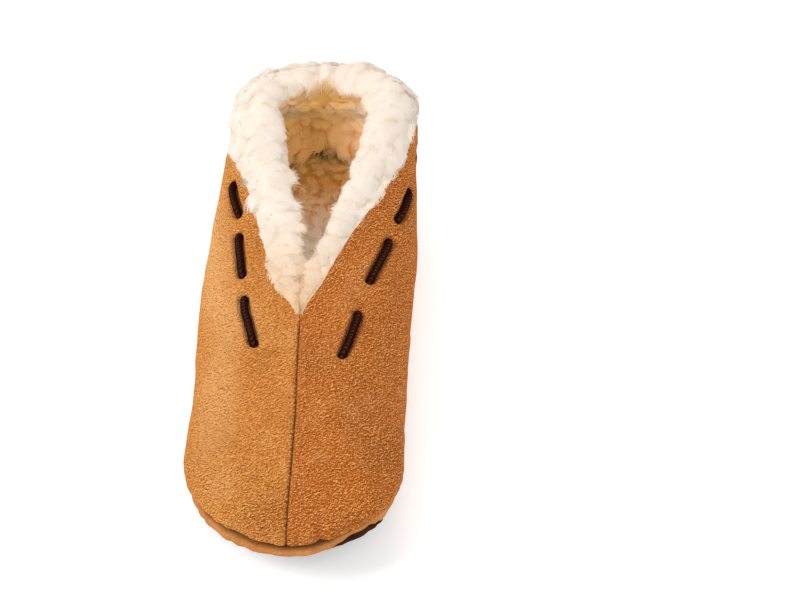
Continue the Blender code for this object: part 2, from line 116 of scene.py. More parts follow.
def columns(rows: Sequence[object], knots: Sequence[float] | None = None) -> dict[str, Column]:
    """Make one curve for each field of a table.

    Args:
        rows: The table's rows, dataclasses of one kind.
        knots: The place of each row, or nothing if each row says its own.

    Returns:
        The curves by field name.
    """
    knots = [row.at for row in rows] if knots is None else knots
    names = [f.name for f in fields(rows[0])]
    return {name: Column(knots, [getattr(row, name) for row in rows]) for name in names}


def bezier(a: Array, b: Array, c: Array, d: Array, count: int) -> Array:
    """Return points along cubic Bezier curves, one curve for each row of the corners.

    Args:
        a, b, c, d: Corner points, each of shape (rows, dimensions).
        count: Points along each curve, both ends included.

    Returns:
        Points of shape (rows, count, dimensions).
    """
    t = np.linspace(0, 1, count)[None, :, None]
    a, b, c, d = (p[:, None, :] for p in (a, b, c, d))
    return a * (1 - t) ** 3 + 3 * b * t * (1 - t) ** 2 + 3 * c * t**2 * (1 - t) + d * t**3


def through(anchors: Array, count: int) -> Array:
    """Return points along smooth curves through anchors.

    Args:
        anchors: Shape (rows, anchors, dimensions).
        count: Points along each curve, both ends included.

    Returns:
        Points of shape (rows, count, dimensions).
    """
    first = 2 * anchors[:, :1] - anchors[:, 1:2]
    last = 2 * anchors[:, -1:] - anchors[:, -2:-1]
    padded = np.concatenate([first, anchors, last], axis=1)
    share = np.linspace(0, anchors.shape[1] - 1, count)
    k = np.minimum(share.astype(int), anchors.shape[1] - 2)
    t = (share - k)[None, :, None]
    a, b, c, d = (padded[:, k + step] for step in range(4))
    bend = (c - a) * t + (2 * a - 5 * b + 4 * c - d) * t**2 + (3 * b - a - 3 * c + d) * t**3
    return b + 0.5 * bend


def unit(vectors: Array) -> Array:
    """Return the vectors at length one."""
    return vectors / np.maximum(np.linalg.norm(vectors, axis=-1, keepdims=True), 1e-9)


def hump(x: Array, width: float) -> Array:
    """Return a soft bump that is 1 at zero and fades out over the width."""
    return np.exp(-((x / width) ** 2))


def ramp(x: Array, low: float, high: float) -> Array:
    """Return 0 below low and 1 above high, with a smooth change between."""
    t = np.clip((x - low) / (high - low), 0.0, 1.0)
    return t * t * (3 - 2 * t)


def ripple(points: Array, size: float, seed: float) -> Array:
    """Return soft, even lumps between about -1 and 1.

    Args:
        points: Shape (..., 3), in millimetres.
        size: The rough distance between lumps.
        seed: Shifts the pattern.

    Returns:
        A value for each point.
    """
    total = np.zeros(points.shape[:-1])
    for k in range(7):
        turn, tilt = 2.4 * k + seed, 1.1 * math.sin(1.7 * k + seed)
        way = np.array([math.cos(turn) * math.cos(tilt), math.sin(turn) * math.cos(tilt), math.sin(tilt)])
        pitch = size * (0.75 + 0.13 * k)
        warp = 0.9 * np.sin(points[..., (k + 1) % 3] / (1.7 * size) + 2.1 * k + seed)
        total += np.sin(2 * math.pi * (points @ way) / pitch + 1.3 * k * seed + warp)
    return total / 3.6


def travelled(points: Array) -> Array:
    """Return how far each point lies along its row of points, from the row's start."""
    steps = np.linalg.norm(np.diff(points, axis=-2), axis=-1)
    return np.concatenate([0 * steps[..., :1], np.cumsum(steps, axis=-1)], axis=-1)


def grid_normals(points: Array) -> Array:
    """Return the unit normals of a grid of points, from its rows and columns."""
    along, across = (np.gradient(points, axis=k) for k in (0, 1))
    return unit(np.cross(along, across))


# ---- meshes ----


def make_object(name: str, points: Array, faces: Array, values: dict[str, Array]) -> Object:
    """Make a smooth mesh object in metres from points in millimetres.

    Args:
        name: The object's name.
        points: Shape (n, 3), in millimetres.
        faces: Shape (m, 4), corner numbers.
        values: Point attributes by name, one number for each point.

    Returns:
        The object, linked to the scene.
    """
    mesh = bpy.data.meshes.new(name)
    mesh.vertices.add(len(points))
    mesh.vertices.foreach_set("co", np.asarray(points * MM, np.float32).ravel())
    corners = faces.shape[1]
    mesh.loops.add(faces.size)
    mesh.loops.foreach_set("vertex_index", faces.astype(np.int32).ravel())
    mesh.polygons.add(len(faces))
    mesh.polygons.foreach_set("loop_start", np.arange(0, faces.size, corners, dtype=np.int32))
    mesh.update(calc_edges=True)
    for key, numbers in values.items():
        mark = mesh.attributes.new(key, "FLOAT", "POINT")
        mark.data.foreach_set("value", np.asarray(numbers, np.float32))
    mesh.shade_smooth()
    made = bpy.data.objects.new(name, mesh)
    bpy.context.scene.collection.objects.link(made)
    return made


def close_up(piece: Object) -> None:
    """Join points that coincide, drop faces without area and turn every face outwards.

    Args:
        piece: The object.
    """
    shape = bmesh.new()
    shape.from_mesh(piece.data)
    bmesh.ops.remove_doubles(shape, verts=shape.verts, dist=0.01 * MM)
    bmesh.ops.dissolve_degenerate(shape, edges=shape.edges, dist=0.005 * MM)
    bmesh.ops.recalc_face_normals(shape, faces=shape.faces)
    shape.to_mesh(piece.data)
    shape.free()
    piece.data.shade_smooth()


def grid_faces(rows: int, width: int, wrap: bool = False, start: int = 0) -> Array:
    """Return the four-cornered faces of a grid of points.

    Args:
        rows: Rows of points.
        width: Points in a row.
        wrap: Whether the last point of a row joins its first.
        start: The number of the grid's first point.

    Returns:
        Corner numbers, shape (faces, 4).
    """
    i = np.arange(rows - 1)[:, None]
    j = np.arange(width if wrap else width - 1)[None, :]
    following = (j + 1) % width
    corners = (i * width + j, (i + 1) * width + j, (i + 1) * width + following, i * width + following)
    return start + np.stack([c + 0 * i for c in corners], axis=-1).reshape(-1, 4)


def join_halves(halves: Sequence[Array], strip: int, is_open: Array) -> tuple[Array, Array]:
    """Join halves of wrapped sections, and leave out a strip of faces where they meet.

    Args:
        halves: The points of each half, shape (sections, points, 3).
        strip: The column of the strip.
        is_open: Whether the strip is left out, for each section but the last.

    Returns:
        The points and the faces of both halves.
    """
    rows, width = halves[0].shape[:2]
    kept = (np.tile(np.arange(width), rows - 1) != strip) | ~np.repeat(is_open, width)
    faces = [grid_faces(rows, width, wrap=True, start=k * rows * width)[kept] for k in range(len(halves))]
    return np.concatenate([half.reshape(-1, 3) for half in halves]), np.concatenate(faces)


def ends(rows: int, width: int) -> Array:
    """Return faces that close both ends of a wrapped grid whose rows hold an even number of points.

    Args:
        rows: Rows of points.
        width: Points in a row.

    Returns:
        Corner numbers, shape (faces, 4).
    """
    caps = []
    for start in (0, (rows - 1) * width):
        for k in range(width // 2 - 1):
            caps.append([start + k, start + k + 1, start + width - 2 - k, start + width - 1 - k])
    return np.array(caps)


def sweep(rings: Array) -> tuple[Array, Array]:
    """Return the points and faces of a closed body swept through rings, with both ends capped."""
    sides, caps = grid_faces(*rings.shape[:2], wrap=True), ends(*rings.shape[:2])
    return rings.reshape(-1, 3), np.concatenate([sides, caps])


def finish_piece(
    piece: Object, slot: Slot, finish: Material, *nodes: str
) -> Object:
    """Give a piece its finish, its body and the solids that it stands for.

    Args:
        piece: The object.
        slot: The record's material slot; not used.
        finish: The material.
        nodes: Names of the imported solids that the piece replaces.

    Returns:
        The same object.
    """
    piece.data.materials.append(finish)
    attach(piece, "root")
    if nodes:
        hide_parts(*nodes)
    faces = sum(len(p.vertices) - 2 for p in piece.data.polygons)
    log.info("%s: %d triangles", piece.name, faces)
    return piece


def closed_piece(
    name: str,
    shape: tuple[Array, Array],
    values: dict[str, Array],
    slot: Slot,
    finish: Material,
    *nodes: str,
) -> Object:
    """Make a closed piece from points and faces, and dress it.

    Args:
        name: The object's name.
        shape: Points in millimetres, and faces.
        values: Point attributes by name.
        slot: The record's material slot.
        finish: The material.
        nodes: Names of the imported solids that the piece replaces.

    Returns:
        The object.
    """
    piece = make_object(name, *shape, values)
    close_up(piece)
    return finish_piece(piece, slot, finish, *nodes)


# ---- the last ----


@dataclass(frozen=True)
class Section:
    """An upright section: it stands on the centre line at `axis` behind the toe and looks along `turn`.

    seam is where upper and sole are sewn, side the widest point, and top the ridge of the vamp or the
    edge of the collar, each as a reach and a height. slope is the climb there in degrees, and lean how
    far the slack suede has shifted to the right.
    """

    axis: float
    turn: float
    seam_r: float
    seam_z: float
    side_r: float
    side_z: float
    top_r: float
    top_z: float
    slope: float
    lean: float


@dataclass(frozen=True)
class Sides:
    """A value for each side at a place along the last."""

    at: float
    right: float
    left: float


@dataclass
class Last:
    """The form that every piece is shaped on, with the path of the cord over it.

    tip, vamp_side, throat and back are the sections where the last turns or opens. Each section is two
    curves, low_points below its widest place and high_points above it, with handles as shares of the
    distance. fold_at says where across the heel the lining folds on to the footbed, and cord_route how
    far below the top of the wall the cord runs.
    """

    length: float = 275.0
    wall: float = 2.4
    gap: float = 0.3
    tuck: float = 3.0
    outsole_thick: float = 2.0
    outsole_in: float = 4.5
    sole_thick: float = 2.2
    insole_thick: float = 7.0
    toe_rise: float = 22.0
    toe_rise_from: float = 84.0
    toe_rise_power: float = 1.25
    heel_rise: float = 2.5
    heel_rise_from: float = 252.0
    tip: int = 0
    vamp_side: int = 3
    throat: int = 5
    back: int = 13
    low_points: int = 24
    low_handle: float = 0.45
    high_points: int = 70
    high_handle: float = 0.55
    top_handle: float = 0.5
    fold_at: float = -2.0
    sections: tuple[Section, ...] = (
        Section(54.0, 90.0, 51.5, 31.0, 52.0, 36.0, 0.0, 51.5, 11.0, 0.0),
        Section(54.0, 60.0, 51.2, 32.0, 52.4, 36.5, 0.0, 51.5, 9.5, 0.0),
        Section(54.0, 30.0, 49.6, 28.5, 52.6, 34.5, 0.0, 51.5, 5.5, 0.0),
        Section(54.0, 0.0, 47.0, 18.5, 50.2, 31.0, 0.0, 51.5, 0.0, 0.0),
        Section(82.0, 0.0, 45.5, 9.0, 49.8, 28.0, 0.0, 55.5, 0.0, -0.9),
        Section(110.0, 0.0, 44.0, 6.5, 50.4, 29.0, 0.0, 59.0, 0.0, -1.7),
        Section(131.0, 0.0, 42.0, 6.5, 51.0, 31.0, 9.2, 62.0, 9.0, -2.8),
        Section(160.0, 0.0, 40.0, 6.5, 51.0, 33.0, 19.5, 65.5, 22.0, -1.2),
        Section(190.0, 0.0, 38.0, 6.5, 49.4, 36.0, 33.0, 69.0, 42.0, 0.4),
        Section(215.0, 0.0, 36.5, 7.0, 47.0, 41.0, 41.0, 74.0, 68.0, 2.2),
        Section(235.0, 0.0, 36.0, 8.0, 45.4, 45.0, 42.6, 76.5, 80.0, 2.8),
        Section(235.0, -30.0, 36.5, 10.0, 43.0, 38.0, 36.5, 77.0, 78.0, 2.6),
        Section(235.0, -60.0, 37.0, 12.5, 40.6, 30.0, 28.5, 76.0, 75.0, 1.6),
        Section(235.0, -90.0, 37.5, 13.5, 39.8, 26.0, 25.5, 75.5, 74.0, 0.8),
    )
    cord_route: tuple[Sides, ...] = (
        Sides(3.0, 19.0, 19.0),
        Sides(4.3, 20.0, 19.6),
        Sides(4.7, 23.3, 22.4),
        Sides(5.2, 26.2, 25.2),
        Sides(5.7, 23.8, 21.9),
        Sides(6.3, 21.3, 18.0),
        Sides(7.1, 20.0, 15.5),
        Sides(7.6, 17.2, 11.4),
        Sides(8.2, 16.0, 11.0),
        Sides(9.0, 18.0, 15.0),
        Sides(10.0, 22.0, 21.0),
        Sides(11.0, 24.0, 24.0),
        Sides(13.0, 24.0, 24.0),
    )

    def __post_init__(self) -> None:
        """Make the curves between the rows of the tables."""
        self.curves = columns(self.sections, range(len(self.sections)))
        self.route = columns(self.cord_route)

    def stations(self, step: float, first: float = 0.0) -> Array:
        """Return sections up to the back, closer together at the tip so that the toe seam stays sharp.

        Args:
            step: The usual step.
            first: The first section.

        Returns:
            Rising places, with every whole number between included.
        """
        even = [k + j * step for k in range(self.back) for j in range(round(1 / step))]
        tight = [0.008, 0.02] if first == self.tip else []
        return np.array(sorted({first, self.back, *tight, *(a for a in even if first < a < self.back)}))

    def read(self, name: str, at: Array) -> Array:
        """Return a column of the table of sections at each place. The axis and the turn run straight."""
        curve = self.curves[name]
        return np.interp(at, curve.knots, curve.values) if name in ("axis", "turn") else curve.read(at)

    def place(self, at: Array, side: int, r: Array, z: Array) -> Array:
        """Return points of sections as x, y, z.

        Args:
            at: The sections, shape (n,) or (n, 1).
            side: RIGHT or LEFT.
            r: Reach from the centre line.
            z: Height.

        Returns:
            Points, shaped as r with three coordinates added.
        """
        turn = np.radians(self.read("turn", at))
        seam_z, top_z = self.read("seam_z", at), self.read("top_z", at)
        climb = np.maximum(0.0, (z - seam_z) / (top_z - seam_z))
        x = side * r * np.cos(turn) + self.read("lean", at) * climb
        y = self.read("axis", at) - r * np.sin(turn) - self.length / 2
        return np.stack(np.broadcast_arrays(x, y, z), axis=-1)

    def wall_lines(self, at: Array) -> tuple[Array, Array]:
        """Return the outer face of each section from the top down, and each point's distance down it.

        Args:
            at: The sections, shape (n,).

        Returns:
            Reach and height of shape (n, points, 2), and distances of shape (n, points).
        """
        part = {f.name: self.read(f.name, at) for f in fields(Section)}
        names = ("seam", "side", "top")
        seam, widest, top = (np.stack([part[f"{name}_r"], part[f"{name}_z"]], -1) for name in names)
        climb = part["side_z"] - part["seam_z"]
        below_seam = seam + np.array([self.tuck, 0.6 * self.tuck])
        before_widest = widest - np.stack([0 * climb, self.low_handle * climb], -1)
        lower = bezier(seam, below_seam, before_widest, widest, self.low_points)
        slope = np.radians(part["slope"])
        handle = self.top_handle * np.linalg.norm(widest - top, axis=-1)
        rest = part["top_z"] - part["side_z"]
        above_widest = widest + np.stack([0 * rest, self.high_handle * rest], -1)
        before_top = top + np.stack([handle * np.cos(slope), -handle * np.sin(slope)], -1)
        upper = bezier(widest, above_widest, before_top, top, self.high_points)
        lines = np.concatenate([lower, upper[:, 1:]], axis=1)[:, ::-1]
        return lines, travelled(lines)

    def wall_length(self, at: Array) -> Array:
        """Return each section's length from the top of the wall to the sole seam."""
        return self.wall_lines(at)[1][:, -1]

    def wall_profile(self, at: Array, below: Array) -> tuple[Array, Array]:
        """Return the reach and the height of the outer face.

        Args:
            at: The sections, shape (n,).
            below: Distances down the wall, shape (n, m).

        Returns:
            Both, each of shape (n, m).
        """
        walls = list(zip(below, *self.wall_lines(at)))
        reach, height = (np.array([np.interp(b, d, line[:, k]) for b, line, d in walls]) for k in (0, 1))
        return reach, height

    def wall_points(self, at: Array, side: int, below: Array) -> Array:
        """Return points of the outer face.

        Args:
            at: The sections, shape (n,).
            side: RIGHT or LEFT.
            below: Distances down the wall, shape (n, m).

        Returns:
            Points of shape (n, m, 3).
        """
        return self.place(at[:, None], side, *self.wall_profile(at, below))

    def wall_normals(self, at: Array, side: int, below: Array) -> Array:
        """Return outward directions of the outer face, shaped as wall_points gives the points.

        Args:
            at: The sections, shape (n,).
            side: RIGHT or LEFT.
            below: Distances down the wall, shape (n, m).

        Returns:
            Unit vectors of shape (n, m, 3).
        """
        step, nudge = 0.04, 1.0
        later, sooner = np.minimum(at + step, self.back), np.maximum(at - step, self.tip)
        along = self.wall_points(later, side, below) - self.wall_points(sooner, side, below)
        higher = np.maximum(below - nudge, 0.0)
        down = self.wall_points(at, side, below + nudge) - self.wall_points(at, side, higher)
        normals = np.cross(down, along) * side
        ridge = np.clip(at, self.vamp_side, self.throat)
        zero = np.zeros((len(at), 1))
        after = self.wall_points(ridge + step, RIGHT, zero)
        before = self.wall_points(ridge - step, RIGHT, zero)
        off_ridge = self.wall_points(ridge, RIGHT, zero + nudge) - self.wall_points(ridge, RIGHT, zero)
        on_ridge = np.cross(off_ridge, after - before) * np.array([0.0, 1.0, 1.0])
        top = (below == 0) & (at[:, None] <= self.throat)
        normals = np.where(top[..., None], on_ridge, normals)
        normals[(at == self.tip) | (at == self.back)] *= np.array([0.0, 1.0, 1.0])
        return unit(normals)

    def cord_below(self, at: Array, side: int) -> Array:
        """Return how far below the top of the wall the cord runs."""
        return self.route[SIDE_NAMES[side]].read(at)

    def behind_toe(self, at: Array, r: Array) -> Array:
        """Return how far behind the toe points of the sections lie."""
        return self.read("axis", at) - r * np.sin(np.radians(self.read("turn", at)))

    def rise(self, behind: Array) -> Array:
        """Return how far the underside stands off the floor, that far behind the toe.

        Args:
            behind: Distances behind the toe.

        Returns:
            Heights.
        """
        toe = np.maximum(0.0, 1 - behind / self.toe_rise_from) ** self.toe_rise_power
        heel = np.maximum(0.0, (behind - self.heel_rise_from) / (self.length - self.heel_rise_from)) ** 2
        return self.toe_rise * toe + self.heel_rise * heel

    def sole_under(self, behind: Array) -> Array:
        """Return the height of the sole's underside."""
        return self.rise(behind) + self.outsole_thick + self.gap

    def sole_top(self, behind: Array) -> Array:
        """Return the height of the sole's upper face."""
        return self.sole_under(behind) + self.sole_thick

    def insole_under(self, behind: Array) -> Array:
        """Return the height of the footbed's underside."""
        return self.sole_top(behind) + self.gap

    def insole_top(self, behind: Array) -> Array:
        """Return the height of the footbed's upper face."""
        return self.insole_under(behind) + self.insole_thick


# ---- the cord's stitches ----


@dataclass(frozen=True)
class Stitch:
    """Where the cord lies outside the suede on each side, as places along the last."""

    right_from: float
    right_to: float
    left_from: float
    left_to: float


@dataclass(frozen=True)
class CordTrack:
    """The cord's path on each side, measured along the wall, and the stitches on it.

    The first `shown` stitches lie on the suede and the others lie deeper in it. The last stitch starts
    at back_stitch and runs on round the heel, past_back millimetres beyond the back.
    """

    last: Last
    stitches: tuple[Stitch, ...] = (
        Stitch(4.46, 5.42, 4.6, 5.66),
        Stitch(6.28, 7.13, 6.24, 7.03),
        Stitch(7.6, 8.24, 7.46, 8.07),
        Stitch(9.3, 10.15, 9.2, 10.05),
        Stitch(10.9, 11.85, 10.85, 11.85),
    )
    shown: int = 3
    back_stitch: float = 12.45
    past_back: float = 50.0
    start: float = 3.2

    def run(self, at: Array, side: int) -> Array:
        """Return the distance along the path from its start to each place.

        Args:
            at: Places along the last.
            side: RIGHT or LEFT.

        Returns:
            Distances.
        """
        marks = np.linspace(self.start, self.last.back, 600)
        path = self.last.wall_points(marks, side, self.last.cord_below(marks, side)[:, None])[:, 0]
        return np.interp(at, marks, travelled(path))

    def spans(self, side: int) -> list[tuple[float, float]]:
        """Return the start and end of each stitch on one side, in distances along the path.

        Args:
            side: RIGHT or LEFT.

        Returns:
            A start and an end for each stitch.
        """
        right = side == RIGHT
        pairs = [(s.right_from, s.right_to) if right else (s.left_from, s.left_to) for s in self.stitches]
        pairs.append((self.back_stitch, self.last.back))
        run = self.run(np.array([end for pair in pairs for end in pair]), side)
        run[-1] += self.past_back
        return [(float(a), float(b)) for a, b in zip(run[::2], run[1::2])]


# ---- the suede upper ----


@dataclass(frozen=True)
class Crease:
    """A soft trough or ridge in the suede.

    It runs between two places on one side, bows sideways, and has a width and a depth in
    millimetres. A negative depth is a ridge.
    """

    side: int
    start: tuple[float, float]
    end: tuple[float, float]
    width: float
    depth: float
    bow: float = 0.0


@dataclass(frozen=True)
class Patch:
    """A darker or lighter patch of the suede, partly its own uneven tone, partly painted shade where darker
    and painted light where lighter: where it lies on the wall, its size and its strength.

    along and across are its half sizes in millimetres. A negative strength is a lighter patch.
    """

    side: int
    at: float
    below: float
    along: float
    across: float
    strength: float


@dataclass
class Upper:
    """Vamp and quarters: two halves of napped suede with a seam down the middle of the vamp.

    Rows of points stand closest at the top, round the cord and at the sole. sunk_by is how much deeper
    the troughs of the hind stitches are, and slack the pull of the suede round each hole. pitch and
    seam_pitch are the rough distances between sections along the wall and along the sole.
    """

    last: Last
    track: CordTrack
    step: float = 0.04
    top_rows: tuple[float, ...] = (0.0, 0.3, 0.65, 1.05, 1.6, 2.4, 3.4)
    cord_band: float = 6.0
    sole_band: float = 4.0
    row_counts: tuple[int, ...] = (8, 21, 23, 6)
    inner_rows: tuple[int, ...] = (0, 6, 13, 23, 33, 44)
    seam_width: float = 0.45
    seam_depth: float = 0.8
    shoulder: float = 0.5
    shoulder_at: float = 2.8
    shoulder_width: float = 2.4
    trough_depth: float = 2.7
    trough_width: float = 2.8
    sunk_by: float = 1.4
    furrow: float = 0.5
    furrow_width: float = 5.0
    rim: float = 0.9
    rim_at: float = 3.9
    rim_width: float = 1.3
    hole_depth: float = 2.6
    hole_width: float = 2.5
    slack: float = 0.22
    slack_at: float = 6.0
    slack_width: float = 3.0
    pucker_pitch: float = 9.0
    pucker_depth: float = 0.16
    edge_depth: float = 1.3
    edge_width: float = 1.6
    lump: float = 0.45
    lump_size: float = 34.0
    small_lump: float = 0.12
    small_lump_size: float = 11.0
    pitch: float = 26.0
    seam_pitch: float = 24.0
    creases: tuple[Crease, ...] = (
        Crease(RIGHT, (2.9, 31.0), (2.6, 55.0), 5.0, 1.1, 1.5),
        Crease(RIGHT, (3.25, 34.0), (3.0, 55.0), 5.0, -0.7),
        Crease(RIGHT, (2.35, 34.0), (1.86, 57.0), 5.0, 1.0, -2.0),
        Crease(RIGHT, (2.05, 30.0), (1.55, 50.0), 5.5, -0.5),
        Crease(RIGHT, (0.56, 49.0), (0.57, 61.5), 2.0, 1.5),
        Crease(RIGHT, (0.72, 49.0), (0.7, 60.0), 2.6, -0.8),
        Crease(RIGHT, (4.1, 30.0), (3.75, 62.0), 7.0, 0.6, 2.0),
        Crease(RIGHT, (6.6, 34.0), (5.9, 62.0), 7.0, 0.7, 2.0),
        Crease(RIGHT, (8.9, 34.0), (8.4, 60.0), 6.0, 0.7, -2.0),
        Crease(RIGHT, (10.6, 34.0), (10.75, 60.0), 5.0, 0.8),
        Crease(LEFT, (1.74, 59.0), (1.4, 40.0), 4.0, 0.9, 1.0),
        Crease(LEFT, (0.98, 57.5), (0.6, 57.0), 2.4, 1.1),
        Crease(LEFT, (3.3, 28.0), (2.55, 50.0), 8.0, 0.7, 2.0),
        Crease(LEFT, (5.00, 34.0), (4.4, 62.0), 8.0, 0.5, 2.0),
        Crease(LEFT, (7.4, 34.0), (6.9, 60.0), 7.0, 0.6),
        Crease(LEFT, (9.5, 34.0), (9.1, 60.0), 6.0, 0.7, -2.0),
        Crease(LEFT, (11.4, 34.0), (11.2, 58.0), 5.0, 0.7),
    )
    # Patches of uneven tone, partly painted shade where darker and painted light where lighter.
    patches: tuple[Patch, ...] = (
        Patch(RIGHT, 4.15, 7.0, 9.0, 8.0, 0.55),
        Patch(RIGHT, 1.2, 27.0, 9.0, 9.0, 0.25),
        Patch(RIGHT, 2.64, 46.0, 12.0, 10.0, 0.7),
        Patch(RIGHT, 3.4, 30.0, 26.0, 12.0, 0.58),
        Patch(RIGHT, 6.4, 3.5, 34.0, 5.0, 0.45),
        Patch(RIGHT, 5.3, 40.0, 16.0, 8.0, 0.25),
        Patch(RIGHT, 1.35, 57.0, 9.0, 4.0, 0.6),
        Patch(RIGHT, 8.1, 22.0, 16.0, 14.0, 0.4),
        Patch(LEFT, 0.55, 48.0, 13.0, 8.0, 0.75),
        Patch(LEFT, 0.2, 38.0, 8.0, 8.0, 0.5),
        Patch(LEFT, 4.22, 20.0, 9.0, 11.0, 0.4),
        Patch(LEFT, 6.6, 8.0, 34.0, 6.0, 0.4),
        Patch(LEFT, 2.74, 40.0, 30.0, 11.0, -0.42),
        Patch(LEFT, 3.8, 36.0, 20.0, 11.0, -0.28),
        Patch(LEFT, 5.84, 36.0, 46.0, 12.0, -0.85),
        Patch(LEFT, 1.45, 46.0, 9.0, 10.0, -0.35),
        Patch(LEFT, 7.8, 30.0, 30.0, 12.0, -0.85),
        Patch(RIGHT, 4.4, 22.0, 9.0, 9.0, -0.25),
        Patch(RIGHT, 6.00, 14.0, 22.0, 7.0, -0.2),
    )

    def rows(self, at: Array, side: int) -> Array:
        """Return each section's distances below the top, closest at the seam, the cord and the sole.

        Args:
            at: The sections.
            side: RIGHT or LEFT.

        Returns:
            Distances of shape (n, rows).
        """
        cord, end = self.last.cord_below(at, side), self.last.wall_length(at)
        top = self.top_rows[-1] + 0 * at
        bounds = (top, cord - self.cord_band, cord + self.cord_band, end - self.sole_band, end)
        blocks = [np.broadcast_to(self.top_rows, (len(at), len(self.top_rows)))]
        for low, high, count in zip(bounds, bounds[1:], self.row_counts):
            blocks.append(np.linspace(low, high, count, axis=1)[:, 1:])
        return np.concatenate(blocks, axis=1)

    def seam_relief(self, at: Array, off: Array, points: Array) -> Array:
        """Return the height of the centre seam and of the rounded edges beside it.

        Args:
            at: The sections.
            off: Distances from the middle.
            points: Points of the plain form.

        Returns:
            Heights.
        """
        before = ramp(self.last.throat - at, 0.0, 0.15)[:, None]
        edge = hump(off - self.shoulder_at, self.shoulder_width) * (1 + 0.35 * np.sin(points[..., 1] / 1.9))
        return before * (self.shoulder * edge - self.seam_depth * hump(off, self.seam_width))

    def cord_relief(self, at: Array, side: int, below: Array) -> Array:
        """Return the troughs in which the cord lies, the holes, and the slack between the stitches.

        Args:
            at: The sections.
            side: RIGHT or LEFT.
            below: Distances down the wall.

        Returns:
            Heights.
        """
        run = self.track.run(at, side)[:, None]
        across = below - self.last.cord_below(at, side)[:, None]
        relief = np.zeros_like(below)
        off_centre = ramp(self.last.back - at, 0.0, 0.3)[:, None]
        for number, (start, end) in enumerate(self.track.spans(side)):
            extra = 0.0 if number < self.track.shown else self.sunk_by
            inside = ramp(run, start - 2.5, start + 2.0) * ramp(-run, -end - 2.5, -end + 2.0)
            relief -= (self.trough_depth + extra) * inside * hump(across, self.trough_width)
            relief += self.rim * inside * hump(np.abs(across) - self.rim_at, self.rim_width)
            for hole in (start, end):
                away = np.hypot(run - hole, across)
                relief -= self.hole_depth * np.exp(-((away / self.hole_width) ** 4))
                pull = np.sin(3.8 * np.arctan2(across, run - hole) + side + hole)
                relief += self.slack * pull * off_centre * hump(away - self.slack_at, self.slack_width)
        route = ramp(at, 3.9, 4.3)[:, None]
        return relief * route - self.furrow * route * hump(across, self.furrow_width)

    def crease_relief(self, at: Array, side: int, below: Array) -> Array:
        """Return the height of the listed creases, measured along the wall.

        Args:
            at: The sections.
            side: RIGHT or LEFT.
            below: Distances down the wall.

        Returns:
            Heights.
        """
        run = self.pitch * at[:, None]
        relief = np.zeros_like(below)
        for crease in (c for c in self.creases if c.side == side):
            a, b = (np.array([self.pitch * x, y]) for x, y in (crease.start, crease.end))
            length = np.linalg.norm(b - a)
            way = (b - a) / length
            u = (run - a[0]) * way[0] + (below - a[1]) * way[1]
            v = -(run - a[0]) * way[1] + (below - a[1]) * way[0]
            share = np.clip(u / length, 0.0, 1.0)
            middle = crease.bow * np.sin(math.pi * share)
            fade = ramp(u, -0.15 * length, 0.25 * length) * ramp(-u, -1.15 * length, -0.75 * length)
            relief -= crease.depth * fade * hump(v - middle, crease.width)
        return relief

    def tone(self, at: Array, side: int, below: Array) -> Array:
        """Return how dark the patches make each place, below zero where they make it lighter.

        Args:
            at: The sections.
            side: RIGHT or LEFT.
            below: Distances down the wall.

        Returns:
            Strengths.
        """
        total = np.zeros_like(below)
        for patch in (p for p in self.patches if p.side == side):
            along = self.pitch * (at[:, None] - patch.at) / patch.along
            across = (below - patch.below) / patch.across
            total += patch.strength * np.exp(-(along**2) - across**2)
        return total

    def sole_relief(self, at: Array, side: int, below: Array, end: Array) -> Array:
        """Return the gathers along the sole seam, strongest round the toe.

        Args:
            at: The sections.
            side: RIGHT or LEFT.
            below: Distances down the wall.
            end: Each section's length down to the sole.

        Returns:
            Heights.
        """
        up = end[:, None] - below
        toe = ramp(-at, -4.2, -1.0)[:, None] + 0.35
        turns = at * self.seam_pitch / self.pucker_pitch
        gather = np.sin(2 * math.pi * turns + 1.7 * np.sin(at * 5.1) + side)[:, None]
        off_centre = ramp(np.minimum(at, self.last.back - at), 0.0, 0.3)[:, None]
        pucker = self.pucker_depth * toe * gather * off_centre * hump(up - 3.0, 4.5)
        return pucker - self.edge_depth * hump(up, self.edge_width)

    def outer(self, at: Array, side: int) -> tuple[Array, Array, dict[str, Array]]:
        """Return the outer face of one side.

        Args:
            at: The sections.
            side: RIGHT or LEFT.

        Returns:
            The points, the normals of the plain form, and the point values that the finish reads.
        """
        below = self.rows(at, side)
        end = self.last.wall_length(at)
        points = self.last.wall_points(at, side, below)
        normals = self.last.wall_normals(at, side, below)
        reach = self.last.wall_profile(at, below)[0]
        off = reach * np.cos(np.radians(self.last.read("turn", at)))[:, None]
        seam = self.seam_relief(at, off, points)
        cord = self.cord_relief(at, side, below)
        crease = self.crease_relief(at, side, below)
        edge = 1 - hump(below, 3.0) * ramp(at, self.last.throat, self.last.throat + 0.3)[:, None]
        lumps = self.lump * ripple(points, self.lump_size, 1.3) * edge
        small = self.small_lump * ripple(points, self.small_lump_size, 2.7) * edge
        relief = seam + cord + crease + (lumps + small) + self.sole_relief(at, side, below, end)
        before = ramp(self.last.throat - at, -0.02, 0.02)[:, None]
        tone = self.tone(at, side, below)
        values = {
            # half: 1 on the right and 0 on the left, one shade at the heel; the left's lighter shade is
            # partly painted light.
            "half": 0.5 + 0.5 * side * ramp(-at, -12.0, -8.5)[:, None] + 0 * below,
            "seam": hump(off, 0.42) * before,
            "stitch": hump(off - 0.65, 0.45) * before * (side == LEFT),
            # Painted shade in the cord's troughs and the creases.
            "trough_shade": np.clip(-(cord + crease) / 2.5, 0.0, 1.0),
            # Darker just above the sole: partly the dark seam, partly painted shade in the gap.
            "sole": hump(end[:, None] - below, 1.7),
            # Painted shade and painted light of the patches, partly the suede's uneven tone.
            "shade": np.clip(tone, 0.0, 1.0),
            "bright": np.clip(-tone, 0.0, 1.0),
        }
        return points + normals * relief[..., None], normals, values

